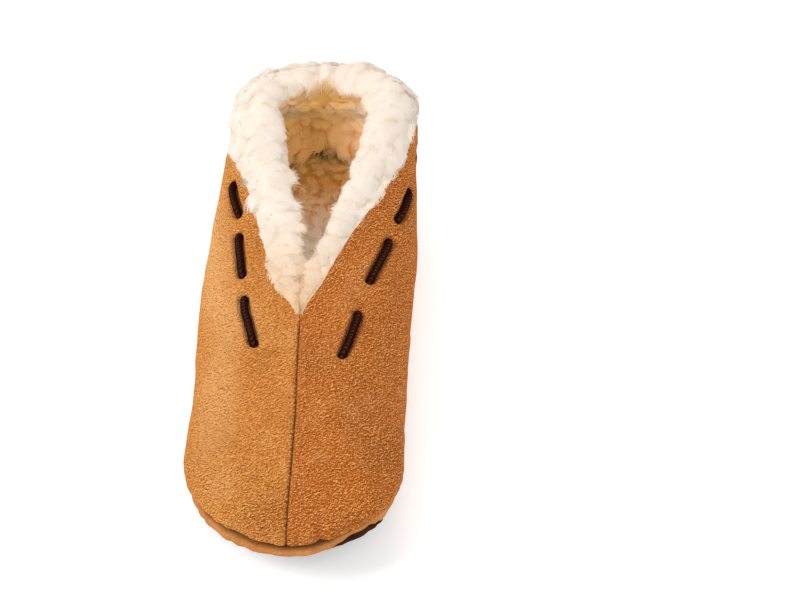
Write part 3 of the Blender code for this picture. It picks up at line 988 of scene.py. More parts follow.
    def build(self, finish: Material) -> Object:
        """Build both halves as one wall and dress it.

        Args:
            finish: The suede.

        Returns:
            The upper.
        """
        at = self.last.stations(self.step)
        halves, values = [], []
        for side in (RIGHT, LEFT):
            outer, normals, marks = self.outer(at, side)
            kept = [*self.inner_rows, outer.shape[1] - 1][::-1]
            inner = outer[:, kept] - self.last.wall * normals[:, kept]
            halves.append(np.concatenate([outer, inner], axis=1))
            values.append({k: np.concatenate([v, v[:, kept]], axis=1).ravel() for k, v in marks.items()})
        merged = {k: np.concatenate([v[k] for v in values]) for k in values[0]}
        shape = join_halves(halves, halves[0].shape[1] - 1, at[:-1] < self.last.throat)
        return closed_piece("suede_upper", shape, merged, Slot.SUEDE, finish, "upper")


# ---- sole, outsole and footbed ----


@dataclass
class Sole:
    """The soft suede sole. lips is how far its rolled edge bulges past the seam."""

    last: Last
    step: float = 0.05
    foot_in: float = 4.0
    lip_points: int = 14
    wrinkle: float = 0.35
    # seam_dark darkens the edge by the seam: partly the dark seam, partly painted shade in the gap.
    seam_dark: tuple[float, ...] = (1.0, 0.8, 0.3, 0.0)
    lips: tuple[Sides, ...] = (
        Sides(0.0, 3.4, 3.4),
        Sides(0.5, 2.6, 3.2),
        Sides(0.8, 0.6, 3.0),
        Sides(1.0, -0.6, 2.8),
        Sides(1.5, -0.6, 1.9),
        Sides(2.0, 0.2, 1.2),
        Sides(3.0, 0.2, 0.5),
        Sides(10.0, 0.6, 0.6),
        Sides(13.0, 1.5, 1.5),
    )

    def half(self, at: Array, side: int) -> Array:
        """Return the sections of one side, from the seam round the rolled edge to the middle and back.

        Args:
            at: The sections.
            side: RIGHT or LEFT.

        Returns:
            Points, shape (sections, points, 3).
        """
        last = self.last
        lip = columns(self.lips)[SIDE_NAMES[side]].read(at)
        seam_r = last.read("seam_r", at)
        foot_r, tray_r = seam_r - self.foot_in, seam_r - last.sole_thick
        high = last.read("seam_z", at) - last.gap
        low = last.sole_under(last.behind_toe(at, seam_r))
        foot = np.stack([foot_r, last.sole_under(last.behind_toe(at, foot_r))], -1)
        drop = high - low
        edge = bezier(
            np.stack([seam_r, high], -1),
            np.stack([seam_r + 1.9 * lip, high - 0.2 * drop], -1),
            np.stack([seam_r + 0.9 * lip, low + 0.05 * drop], -1),
            foot,
            self.lip_points,
        )
        swell = np.sin(np.linspace(0, math.pi, self.lip_points))[None, :]
        toe = ramp(-at, -4.0, -1.0) * ramp(at, 0.0, 0.3)
        fold = np.sin(at * 19.0 + 1.2 * np.sin(at * 7.3) + side) * toe
        edge[..., 0] += self.wrinkle * fold[:, None] * swell
        inwards = (0.7, 0.35, 0.0)
        face = [(foot_r * share, last.sole_under) for share in inwards]
        face += [(tray_r * share, last.sole_top) for share in (*inwards[::-1], 1.0)]
        points = [np.stack([r, height(last.behind_toe(at, r))], -1)[:, None] for r, height in face]
        loop = np.concatenate([edge, *points, np.stack([tray_r, high], -1)[:, None]], axis=1)
        return last.place(at[:, None], side, loop[..., 0], loop[..., 1])

    def build(self, finish: Material) -> Object:
        """Build the sole and dress it.

        Args:
            finish: The suede.

        Returns:
            The sole.
        """
        at = self.last.stations(self.step)
        halves = [self.half(at, side) for side in (RIGHT, LEFT)]
        width = halves[0].shape[1]
        shape = join_halves(halves, self.lip_points + 2, np.ones(len(at) - 1, bool))
        column = np.tile(np.arange(width), 2 * len(at))
        # Painted shade by the seam, partly the dark seam itself.
        dark = np.interp(column, range(len(self.seam_dark)), self.seam_dark)
        values = {"half": np.repeat([1.0, 0.0], len(at) * width), "sole": dark}
        return closed_piece("suede_sole", shape, values, Slot.SUEDE, finish, "sole")


@dataclass
class TurnedEdge:
    """The outsole's edge where it turns up round the right of the toe.

    reach is the share of the sole's edge that it covers at places along the last. It is drawn in to
    nothing at its rim, and the power `blunt` keeps it full up to there.
    """

    sole: Sole
    stand_off: float = 0.2
    blunt: float = 0.4
    thick: float = 0.6
    steps: int = 70
    points: int = 16
    reach: tuple[tuple[float, float], ...] = (
        (0.7, 0.15),
        (0.92, 0.45),
        (1.08, 0.58),
        (1.25, 0.64),
        (1.45, 0.64),
        (1.62, 0.56),
        (1.8, 0.42),
        (1.95, 0.26),
        (2.1, 0.15),
    )

    def build(self, finish: Material) -> Object:
        """Build the turned-up edge and dress it.

        Args:
            finish: The leather.

        Returns:
            The edge.
        """
        places, shares = zip(*self.reach)
        at = np.linspace(places[0], places[-1], self.steps)
        edge = self.sole.half(at, RIGHT)[:, self.sole.lip_points - 1 :: -1]
        run = travelled(edge)
        stop = Column(places, shares).read(at) * run[:, -1]
        marks = np.linspace(0.02 * stop, stop, self.points, axis=1)
        along_edge = [[np.interp(m, r, p[:, k]) for k in range(3)] for m, r, p in zip(marks, run, edge)]
        skin = np.stack(along_edge).transpose(0, 2, 1)
        outward = grid_normals(skin)
        along, across = (np.sin(np.linspace(0, math.pi, n)) ** self.blunt for n in (self.steps, self.points))
        body = self.thick * across[None, :] * along[:, None]
        near = skin + outward * self.stand_off
        far = skin + outward * (self.stand_off + body)[..., None]
        loop = np.concatenate([far, near[:, ::-1]], axis=1)
        return closed_piece("outsole_turned_edge", sweep(loop), {}, Slot.OUTSOLE, finish)


@dataclass
class Sheet:
    """A plate inside the seam line that follows the sole, such as the outsole or the footbed."""

    last: Last
    name: str
    node: str
    reach_in: float
    thick: float
    underside: Callable[[Array], Array]
    step: float = 0.05
    across: int = 12
    rounding: float = 0.5

    def half(self, at: Array, side: int) -> Array:
        """Return the sections of one side, along the underside to the middle and back on top.

        Args:
            at: The sections.
            side: RIGHT or LEFT.

        Returns:
            Points, shape (sections, points, 3).
        """
        reach = self.last.read("seam_r", at) - self.reach_in
        share = np.concatenate([[1.0], 1 - np.linspace(0, 1, self.across)[1:] ** 1.3])
        r = reach[:, None] * share[None, :]
        low = self.underside(self.last.behind_toe(at[:, None], r))
        soft = self.rounding * hump((1 - share)[None, :] * reach[:, None], self.rounding)
        under = self.last.place(at[:, None], side, r, low + soft)
        over = self.last.place(at[:, None], side, r, low + self.thick - soft)
        return np.concatenate([under, over[:, ::-1]], axis=1)

    def build(self, slot: Slot, finish: Material) -> Object:
        """Build the plate and dress it.

        Args:
            slot: The record's material slot.
            finish: The material.

        Returns:
            The plate.
        """
        at = self.last.stations(self.step)
        halves = [self.half(at, side) for side in (RIGHT, LEFT)]
        points, faces = join_halves(halves, self.across - 1, np.ones(len(at) - 1, bool))
        # On the footbed the fleece takes golden painted warm shade towards the heel and a little painted
        # dark shade all over.
        gold = 0.1 + 0.9 * ramp(points[:, 1], 55.0, 110.0)
        wool = {"tip": np.full(len(points), 0.2), "gold": gold, "deep": np.full(len(points), 0.1)}
        values = wool if slot is Slot.FLEECE else {}
        return closed_piece(self.name, (points, faces), values, slot, finish, self.node)


# ---- fleece ----


@dataclass(frozen=True)
class Pile:
    """How a fleece grows. Lengths are in millimetres.

    Locks stand `spacing` apart. Each fibre rises to `height`, runs `length` along the lie, waves
    sideways by `curl`, and draws in to its lock's middle by the share `gather`. swing turns whole locks
    and stray single fibres. Airy wool casts no shadow of its own, as light passes through it.
    """

    spacing: float
    length: float
    height: float
    width: float
    curl: float = 0.8
    turns: float = 0.7
    gather: float = 0.5
    swing: float = 0.7
    stray: float = 0.35
    segments: int = 3
    seeds: int = 14000
    airy: bool = False


@dataclass
class Bed:
    """A grid of skin that fleece grows from.

    lie is the way the pile runs, scale its relative length, gold how much golden painted warm shade it takes
    and deep how much dark painted shade it takes where it lies in a dark corner.
    """

    points: Array
    normals: Array
    lie: Array
    density: Array
    scale: Array
    gold: Array
    deep: Array


class Fleece:
    """Grows soft curled locks of fine fibres on a bed."""

    def __init__(self, pile: Pile, seed: int) -> None:
        """Keep the pile's sizes and start its fixed run of random numbers."""
        self.pile = pile
        self.random = np.random.default_rng(seed)

    def scatter(self, bed: Bed, count: int) -> dict[str, Array]:
        """Pick evenly random places of a bed.

        Args:
            bed: The skin.
            count: How many.

        Returns:
            What the bed holds there, by field name.
        """
        p = bed.points
        area = np.linalg.norm(np.cross(p[1:, :-1] - p[:-1, :-1], p[:-1, 1:] - p[:-1, :-1]), axis=-1)
        weight = (area * bed.density[:-1, :-1]).ravel()
        chosen = self.random.choice(len(weight), count, p=weight / weight.sum())
        i, j = np.unravel_index(chosen, area.shape)
        u, v = self.random.random((2, count, 1))

        def blend(grid: Array) -> Array:
            """Return the grid's values between the four corners of each chosen cell."""
            near, far = (grid[k, j] * (1 - v) + grid[k, j + 1] * v for k in (i, i + 1))
            return near * (1 - u) + far * u

        found = {name: blend(getattr(bed, name)[..., None]) for name in ("scale", "gold", "deep")}
        return found | {"points": blend(p), "normals": unit(blend(bed.normals)), "lie": blend(bed.lie)}

    def thin_out(self, points: Array) -> Array:
        """Return the numbers of points that keep the pile's spacing from each other.

        Args:
            points: Shape (n, 3).

        Returns:
            Numbers into the points.
        """
        cell = self.pile.spacing
        kept: dict[tuple[int, int, int], list[int]] = {}
        found = []
        around = [(x, y, z) for x in (-1, 0, 1) for y in (-1, 0, 1) for z in (-1, 0, 1)]
        for k, point in enumerate(points):
            home = tuple(int(c // cell) for c in point)
            cells = ((home[0] + x, home[1] + y, home[2] + z) for x, y, z in around)
            near = (other for key in cells for other in kept.get(key, ()))
            if all(np.dot(point - points[n], point - points[n]) > cell * cell for n in near):
                kept.setdefault(home, []).append(k)
                found.append(k)
        return np.array(found)

    def lay(self, up: Array, lie: Array) -> Array:
        """Return each lock's own direction in its skin, turned a little at random.

        Args:
            up: The locks' normals.
            lie: The way the pile runs there.

        Returns:
            Unit vectors.
        """
        lie = unit(lie - up * np.sum(lie * up, axis=1, keepdims=True) + 1e-6)
        turn = self.random.normal(0.0, self.pile.swing, (len(lie), 1))
        return unit(lie * np.cos(turn) + np.cross(up, lie) * np.sin(turn))

    def grow(self, name: str, bed: Bed, fibres: int, finish: Material) -> Object:
        """Grow locks over a bed as one mesh.

        Args:
            name: The object's name.
            bed: The skin.
            fibres: How many fibres to grow.
            finish: The material.

        Returns:
            The fleece.
        """
        pile, random = self.pile, self.random
        seeds = self.scatter(bed, pile.seeds)
        chosen = self.thin_out(seeds["points"])
        centres, up = seeds["points"][chosen], seeds["normals"][chosen]
        scale = seeds["scale"][chosen]
        count = len(centres)
        lie = self.lay(up, seeds["lie"][chosen])
        length = pile.length * scale * random.uniform(0.7, 1.25, (count, 1))
        height = pile.height * np.sqrt(scale) * random.uniform(0.6, 1.25, (count, 1))
        phase = random.uniform(0, 2 * math.pi, (count, 1))
        hand = random.choice([-1.0, 1.0], (count, 1))
        tone = random.random(count)

        tree = kdtree.KDTree(count)
        for k, centre in enumerate(centres):
            tree.insert(centre, k)
        tree.balance()
        roots = self.scatter(bed, fibres)
        owner = np.array([tree.find(root)[1] for root in roots["points"]])

        u, w, n = lie[owner], np.cross(up, lie)[owner], up[owner]
        offset = roots["points"] - centres[owner]
        strayed = random.normal(0.0, pile.stray, (fibres, 1))
        run = length[owner] * random.uniform(0.5, 1.2, (fibres, 1))
        rise = height[owner] * random.uniform(0.55, 1.1, (fibres, 1))
        steps = np.linspace(0, 1, pile.segments + 1)
        path = []
        for s in steps:
            close = 1 - pile.gather * s
            lift = rise * (math.sin(min(1.0, 1.7 * s) * math.pi / 2) - 0.35 * s**3)
            angle = hand[owner] * 2 * math.pi * pile.turns * s + phase[owner] + strayed
            wave = pile.curl * scale[owner] * s * (np.sin(angle) * w + 0.5 * np.cos(angle) * n)
            forward = run * s**1.3 * (u + 0.5 * strayed * w)
            path.append(centres[owner] + offset * close + lift * roots["normals"] + forward + wave)
        path = np.stack(path, axis=1)
        way = unit(np.gradient(path, axis=1))
        outward = unit(n + 0.5 * offset / pile.spacing + np.array([0.0, 0.0, 1.0]))
        flat = unit(np.cross(way, outward[:, None, :]) + 1e-9)
        half = 0.5 * pile.width * (1 - 0.7 * steps**2)[None, :, None]
        sides = np.stack([path - flat * half, path + flat * half], axis=2)

        rungs = pile.segments + 1
        first = (np.arange(fibres) * rungs * 2)[:, None] + 2 * np.arange(pile.segments)[None, :]
        faces = np.stack([first, first + 1, first + 3, first + 2], axis=-1).reshape(-1, 4)
        tips = np.broadcast_to(steps[None, :, None], (fibres, rungs, 2)).ravel()
        tones = np.repeat(tone[owner] * 0.7 + 0.3 * random.random(fibres), rungs * 2)
        values = {"tip": tips, "lock": tones}
        values |= {key: np.repeat(roots[key][:, 0], rungs * 2) for key in ("gold", "deep")}
        piece = make_object(name, sides.reshape(-1, 3), faces, values)
        soft = n + 0.45 * offset / pile.spacing + 0.12 * random.normal(0.0, 1.0, (fibres, 3))
        soft = unit(soft + np.array([0.0, 0.0, 0.6]))
        soft[:, 2] = np.maximum(soft[:, 2], 0.45)
        normals = np.repeat(unit(soft), rungs * 2, axis=0)
        piece.data.normals_split_custom_set_from_vertices(normals.tolist())
        piece.visible_shadow = not pile.airy
        return finish_piece(piece, Slot.FLEECE, finish)


@dataclass(frozen=True)
class Roll:
    """A row of the rolled cuff's sizes on one side.

    overhang is how far it hangs down outside and out how far it stands off there. rise and inward are
    how far it stands past the edge, and drop how far it goes down inside.
    """

    at: float
    overhang: float
    out: float
    rise: float
    inward: float
    drop: float


@dataclass
class Cuff:
    """The deep fleece rolled over the edge of the collar, a skin under curled locks.

    The halves meet at the throat, no closer than `slit` to the middle. The skin lies under_pile below
    the tips of the locks. lining_thick is the lining's thickness at places along the last.
    """

    last: Last
    step: float = 0.05
    start: float = 5.15
    points: int = 40
    slit: float = 0.4
    lining_gap: float = 0.5
    under_pile: float = 2.2
    lump: float = 0.9
    lump_size: float = 13.0
    fibres: int = 32000
    seed: int = 11
    locks: Pile = Pile(spacing=4.2, length=5.2, height=2.7, width=0.27, gather=0.3, stray=0.6, airy=True)
    right: tuple[Roll, ...] = (
        Roll(5.0, 1.0, 0.6, 1.5, 2.0, 6.0),
        Roll(6.0, 1.2, 0.8, 3.5, 8.0, 6.0),
        Roll(7.0, 1.2, 0.8, 5.0, 11.0, 6.0),
        Roll(8.0, 1.2, 0.8, 7.0, 17.0, 6.0),
        Roll(9.0, 2.0, 1.2, 9.0, 22.0, 6.0),
        Roll(10.0, 4.0, 2.0, 9.0, 21.0, 6.0),
        Roll(11.0, 7.0, 2.0, 8.5, 17.0, 6.0),
        Roll(12.0, 9.0, 2.0, 8.0, 12.0, 6.0),
        Roll(13.0, 10.0, 2.0, 8.0, 10.0, 6.0),
    )
    left: tuple[Roll, ...] = (
        Roll(5.0, 1.5, 1.0, 1.5, 2.0, 6.0),
        Roll(6.0, 4.0, 2.4, 4.0, 11.0, 5.0),
        Roll(7.0, 3.5, 2.6, 6.0, 15.0, 4.0),
        Roll(7.7, 1.2, 1.6, 7.0, 19.0, 4.0),
        Roll(8.2, 3.0, 1.8, 7.6, 21.0, 4.0),
        Roll(9.0, 7.0, 2.0, 8.0, 21.0, 4.0),
        Roll(10.0, 8.0, 1.4, 7.0, 18.0, 6.0),
        Roll(11.0, 8.5, 1.0, 6.0, 15.5, 6.0),
        Roll(12.0, 9.5, 1.6, 7.4, 13.0, 6.0),
        Roll(13.0, 10.0, 2.0, 8.0, 10.0, 6.0),
    )
    lining_thick: tuple[tuple[float, float], ...] = (
        (0.0, 4.0),
        (3.0, 6.5),
        (4.0, 8.5),
        (5.0, 9.5),
        (13.0, 10.5),
    )

    def rolls(self, side: int) -> dict[str, Column]:
        """Return the curves of the roll's sizes on one side."""
        return columns(self.right if side == RIGHT else self.left)

    def lining_depth(self, at: Array) -> Array:
        """Return how deep the inner face of the lining lies under the outer face of the upper."""
        knots, values = zip(*self.lining_thick)
        return self.last.wall + self.lining_gap + Column(knots, values).read(at)

    def wall_place(self, at: Array, side: int, below: Array, depth: Array | float) -> Array:
        """Return one point of each section, that far below the top and that deep under the outer face.

        Args:
            at: The sections.
            side: RIGHT or LEFT.
            below: A distance down the wall for each section.
            depth: How deep under the outer face, for all or for each.

        Returns:
            Points of shape (n, 3).
        """
        rows = np.asarray(below, float)[:, None]
        points = self.last.wall_points(at, side, rows)[:, 0]
        normals = self.last.wall_normals(at, side, rows)[:, 0]
        return points - np.asarray(depth, float).reshape(-1, 1) * normals

    def free_side(self, at: Array, side: int) -> Array:
        """Return the skin of each section from outside over the top and down inside.

        Args:
            at: The sections.
            side: RIGHT or LEFT.

        Returns:
            Points of shape (n, points, 3).
        """
        rolls, last = self.rolls(side), self.last
        names = ("overhang", "out", "rise", "inward", "drop")
        overhang, out, rise, inward, drop = (rolls[name].read(at) for name in names)
        top_r, top_z = last.read("top_r", at), last.read("top_z", at)
        sink = self.under_pile * np.clip(rise / 6.0, 0.1, 1.0)
        anchors = [
            self.wall_place(at, side, overhang, -2 * last.gap),
            self.wall_place(at, side, 0.35 * overhang, -last.gap - np.maximum(out - 0.6 * sink, 0.2)),
            last.place(at, side, top_r - 0.42 * inward, top_z + rise - sink),
            last.place(at, side, top_r - inward + 0.7 * sink, top_z - 0.15 * rise),
            self.wall_place(at, side, drop, self.lining_depth(at) - 0.5),
        ]
        free = through(np.stack(anchors, axis=1), self.points)
        lumps = self.lump * ripple(free, self.lump_size, 0.7 + side) * np.clip(rise / 8.0, 0.0, 1.0)[:, None]
        fade = np.sin(np.linspace(0, math.pi, self.points)) ** 0.5
        free += grid_normals(free) * (side * lumps * fade)[..., None]
        straight = last.read("turn", at) == 0.0
        centre = last.place(at[:, None], side, np.zeros((len(at), self.points)), free[..., 2])[..., 0]
        off = side * (free[..., 0] - centre)
        held = centre + side * np.maximum(off, self.slit)
        free[..., 0] = np.where(straight[:, None], held, free[..., 0])
        return free

    def held_side(self, at: Array, side: int) -> Array:
        """Return the points of each section that lie against the suede, inside first.

        Args:
            at: The sections.
            side: RIGHT or LEFT.

        Returns:
            Points, shape (sections, points, 3).
        """
        rolls = self.rolls(side)
        overhang, drop = rolls["overhang"].read(at), rolls["drop"].read(at)
        wall, gap = self.last.wall, self.last.gap
        points = [self.wall_place(at, side, drop * share, wall + gap) for share in (1.0, 0.5, 0.0)]
        points += [self.wall_place(at, side, overhang * share, -gap) for share in (0.0, 0.4, 0.8)]
        return np.stack(points, axis=1)

    def near_throat(self, at: Array) -> Array:
        """Return 1 at the throat and 0 from the middle of the opening back."""
        return ramp(-at, -7.4, -5.2)

    def bed(self, free: Array, side: int, at: Array) -> Bed:
        """Return the skin as a bed: the pile lies over the roll, down inside and down outside.

        Args:
            free: The skin's points.
            side: RIGHT or LEFT.
            at: The sections.

        Returns:
            The bed.
        """
        over = unit(np.gradient(free, axis=1))
        along = unit(np.gradient(free, axis=0))
        share = np.linspace(0, 1, self.points)[None, :]
        rolls = self.rolls(side)
        hung = ramp(rolls["overhang"].read(at), 1.5, 6.0)[:, None]
        front = np.clip(rolls["rise"].read(at) / 6.0, 0.25, 1.0)[:, None]
        way = np.clip((share - 0.32 * hung) * 3.0, -1.0, 1.0)
        edge = ramp(share, 0.0, 0.22) * (1 - hung) + hung * (0.55 + 0.45 * ramp(share, 0.0, 0.3))
        lie = over * way[..., None] + along * 0.3 * np.sin(free[..., 1:2] / 9.0)
        scale = (0.2 + 0.8 * edge) * front
        density = 0.55 + 0.45 * np.sin(math.pi * share) + 0 * hung
        # Painted warm shade (gold) inside the roll, rising to an arch at the back and strongest at the
        # throat, and painted dark shade (deep) at the throat and where the gold is deepest.
        arch = np.interp(at, (10.6, 11.4, 12.2, 13.0), (1.0, 0.84, 0.66, 0.62))[:, None]
        tip = self.near_throat(at)[:, None]
        inside = 0.12 * ramp(share, 0.5, 1.0) * (1.0 + 2.5 * tip) + 0.42 * tip
        golden = ramp(share - arch, -0.04, 0.24)
        gold = np.maximum(inside, golden)
        deep = np.maximum(0.13 * tip, 0.4 * golden)
        return Bed(free, side * grid_normals(free), lie, density, scale, gold, deep)

    def build(self, finish: Material) -> list[Object]:
        """Build the skin and grow its locks.

        Args:
            finish: The fleece.

        Returns:
            The skin, and the locks of each side.
        """
        at = self.last.stations(self.step, self.start)
        free = {side: self.free_side(at, side) for side in (RIGHT, LEFT)}
        loops = {s: np.concatenate([free[s], self.held_side(at, s)], axis=1) for s in free}
        band = np.concatenate([loops[RIGHT], loops[LEFT][-2::-1]])
        width = band.shape[1]
        tip = np.repeat(self.near_throat(np.concatenate([at, at[-2::-1]])), width)
        column = np.arange(width)
        # The skin takes golden painted warm shade on its inner side and at the throat, and painted dark
        # shade at the throat.
        inside = 0.5 * ramp(column / self.points, 0.55, 0.95) * (column < width - 3)
        values = {
            "tip": np.full(len(band) * width, 0.5),
            "lock": 0.5 + 0.3 * ripple(band.reshape(-1, 3), 9.0, 4.0),
            "gold": np.maximum(0.5 * tip, np.tile(inside, len(band))),
            "deep": 0.2 * tip,
        }
        skin = closed_piece("fleece_cuff_skin", sweep(band), values, Slot.FLEECE, finish, "fleece_cuff")
        skin.visible_shadow = False
        made = [skin]
        for side, name in SIDE_NAMES.items():
            fleece = Fleece(self.locks, self.seed + side)
            bed = self.bed(free[side], side, at)
            made.append(fleece.grow(f"fleece_locks_{name}", bed, self.fibres, finish))
        return made


@dataclass
class Lining:
    """The fleece inside the upper, from the cuff down to the footbed.

    Painted shade darkens it in its fold on to the footbed and a little above, and it bellies out over the
    fold. Locks grow only from shown_from back, where the lining can be seen.
    """

    last: Last
    cuff: Cuff
    step: float = 0.1
    rows: int = 26
    shown_from: float = 4.5
    # fold_low, fold_rise and fold_width place the band of painted shade along the fold, and shade,
    # shade_height and shade_width a fainter band of painted shade above it.
    fold_low: float = 14.5
    fold_rise: float = 2.5
    fold_width: float = 5.2
    belly: float = 6.0
    belly_height: float = 22.0
    belly_width: float = 13.0
    cord_room: float = 3.4
    lump: float = 0.7
    lump_size: float = 15.0
    shade: float = 0.34
    shade_height: float = 56.0
    shade_width: float = 9.0
    fibres: int = 14000
    seeds: tuple[int, int] = (31, 32)
    locks: Pile = Pile(spacing=5.0, length=6.5, height=3.0, width=0.45, curl=1.3, airy=True)

    def face(self, at: Array, side: int, inner: bool) -> Array:
        """Return one face of the lining on one side.

        Args:
            at: The sections.
            side: RIGHT or LEFT.
            inner: Whether it is the face towards the foot.

        Returns:
            Points of shape (n, rows, 3).
        """
        last = self.last
        drop = self.cuff.rolls(side)["drop"].read(at)
        share = np.clip((at - last.throat) * 3, 0.0, 1.0)
        end = last.wall_length(at)
        lines, down = last.wall_lines(at)
        floor = last.insole_top(last.behind_toe(at, last.read("seam_r", at) - 10.0))
        foot = np.array([np.interp(-f - 4.0, -line[:, 1], d) for f, line, d in zip(floor, lines, down)])
        below = np.linspace(share * (drop + 1.2), np.minimum(foot, end - 1.5), self.rows, axis=1)
        depth = self.cuff.lining_depth(at)[:, None] if inner else np.full((len(at), 1), last.wall + 0.5)
        points = last.wall_points(at, side, below)
        normals = last.wall_normals(at, side, below)
        off_cord = below - last.cord_below(at, side)[:, None]
        cord = self.cord_room * hump(off_cord, 5.0) * ramp(at, 3.7, 4.0)[:, None]
        belly = self.belly * hump(points[..., 2] - self.belly_height, self.belly_width)
        belly = belly * ramp(at, 10.5, 12.0)[:, None]
        lumps = self.lump * ripple(points, self.lump_size, 3.1) + belly if inner else cord
        return points - normals * (depth + lumps)[..., None]

    def bed(self, inner: Array, side: int, at: Array) -> Bed:
        """Return the inner face as a bed: wavy wool in golden painted warm shade, with painted dark shade in
        the fold over the footbed.

        Args:
            inner: The points of the inner face.
            side: RIGHT or LEFT.
            at: The sections.

        Returns:
            The bed.
        """
        normals = side * grid_normals(inner)
        along, down = unit(np.gradient(inner, axis=0)), unit(np.gradient(inner, axis=1))
        x, y, z = (inner[..., k] for k in range(3))
        lie = 0.9 * along * np.sin(z / 5.0 + y / 23.0)[..., None] + 0.5 * down
        # Painted dark shade: in the fold over the footbed, a little under the collar at the heel, low down,
        # and over the left side's inner face, which faces away from the light.
        off_fold = x - self.last.fold_at
        heel = ramp(at, 10.0, 11.5)[:, None]
        fold = hump(z - self.fold_low - self.fold_rise * hump(off_fold, 12.0), self.fold_width) * heel
        deep = np.minimum(fold * (0.75 + 1.5 * hump(off_fold, 10.0)), 1.0)
        deep = np.maximum(deep, self.shade * heel * hump(z - self.shade_height, self.shade_width))
        deep = np.maximum(deep, 0.5 * hump(z - 12.0, 5.0))
        deep = np.maximum(deep, 0.14 if side == LEFT else 0.0)
        # Golden painted warm shade, less of it on the right side, where the light falls.
        wool, heel_wool = (0.7, 0.85) if side == RIGHT else (1.0, 1.0)
        full = np.ones(z.shape)
        gold = full * (0.55 + 0.45 * ramp(np.linspace(0, 1, self.rows), 0.0, 0.45)[None, :])
        gold = np.maximum(gold * wool, heel_wool * ramp(at, 11.0, 12.6)[:, None])
        density = full * (0.3 + 0.7 * ramp(at, 6.0, 8.0)[:, None])
        return Bed(inner, normals, lie, density, full, gold, deep)

    def build(self, finish: Material) -> list[Object]:
        """Build the lining and grow its locks.

        Args:
            finish: The fleece.

        Returns:
            The lining and its locks.
        """
        at = self.last.stations(self.step)
        inner, outer = ([self.face(at, side, facing) for side in SIDE_NAMES] for facing in (True, False))
        loops = [np.concatenate([near, far[:, ::-1]], axis=1) for near, far in zip(inner, outer)]
        points, faces = join_halves(loops, loops[0].shape[1] - 1, at[:-1] < self.last.throat)
        count = len(points)
        # The lining's skin takes the full golden painted warm shade.
        values = {"tip": np.full(count, 0.2), "lock": np.full(count, 0.4), "gold": np.ones(count)}
        shape = (points, faces)
        pieces = [closed_piece("fleece_lining_skin", shape, values, Slot.FLEECE, finish, "fleece_lining")]
        shown = at >= self.shown_from
        for (side, name), face, seed in zip(SIDE_NAMES.items(), inner, self.seeds):
            bed = self.bed(face[shown], side, at[shown])
            pieces.append(Fleece(self.locks, seed).grow(f"lining_locks_{name}", bed, self.fibres, finish))
        return pieces


@dataclass
class Footbed:
    """The fleece footbed. It is crowned across, and swells to a mound at the fold of the heel."""

    last: Last
    edge: float = 5.0
    crown: float = 3.5
    mound: float = 1.5
    across: int = 12
    step: float = 0.1
    fibres: int = 16000
    seed: int = 41
    locks: Pile = Pile(spacing=4.5, length=5.0, height=2.0, width=0.42, airy=True)

    def bed(self, at: Array, side: int, reach_in: float) -> Bed:
        """Return one side of the top as a bed, with painted shade where it meets the lining and golden
        painted warm shade at the heel.

        Args:
            at: The sections.
            side: RIGHT or LEFT.
            reach_in: How far inside the seam the footbed ends.

        Returns:
            The bed.
        """
        last = self.last
        reach = last.read("seam_r", at) - reach_in - self.edge
        share = np.linspace(0, 1, self.across)[None, :]
        r = reach[:, None] * share
        top = last.insole_top(last.behind_toe(at[:, None], r))
        top = top + self.crown * ramp(at, 8.5, 11.5)[:, None] * (1 - share**2)
        grid = last.place(at[:, None], side, r, top)
        off_fold, y = grid[..., 0] - last.fold_at, grid[..., 1]
        grid[..., 2] += self.mound * hump(off_fold, 12.0) * ramp(y, 84.0, 110.0)
        full = np.ones(y.shape)
        lie = np.stack([0.5 * np.sin(y / 8.0), -full, 0 * r], axis=-1)
        # Golden painted warm shade towards the heel; painted dark shade at the edge where it meets the
        # lining, most at the fold of the heel, and a little over the heel.
        gold = full * (0.1 + 0.9 * ramp(at, 8.1, 11.0)[:, None])
        edge = ramp(share, 0.72, 0.96) * (0.6 + 0.4 * hump(off_fold, 9.0))
        deep = np.maximum(edge, 0.12 * ramp(y, 85.0, 108.0))
        density = full * (0.25 + 0.75 * ramp(at, 6.2, 7.4)[:, None])
        return Bed(grid, np.broadcast_to([0.0, 0.0, 1.0], grid.shape), lie, density, full, gold, deep)

    def build(self, finish: Material) -> list[Object]:
        """Build the footbed and grow its locks.

        Args:
            finish: The fleece.

        Returns:
            The footbed and its locks.
        """
        last = self.last
        reach_in = last.sole_thick + 2 * last.gap
        base = Sheet(last, "fleece_footbed", "insole", reach_in, last.insole_thick, last.insole_under)
        at = last.stations(self.step, last.vamp_side)
        beds = [self.bed(at, side, reach_in) for side in SIDE_NAMES]
        both = Bed(*(np.concatenate([getattr(b, f.name) for b in beds]) for f in fields(Bed)))
        both.density[len(at) - 1] = 0.0
        fleece = Fleece(self.locks, self.seed)
        return [base.build(Slot.FLEECE, finish), fleece.grow("footbed_locks", both, self.fibres, finish)]


# ---- the cord ----


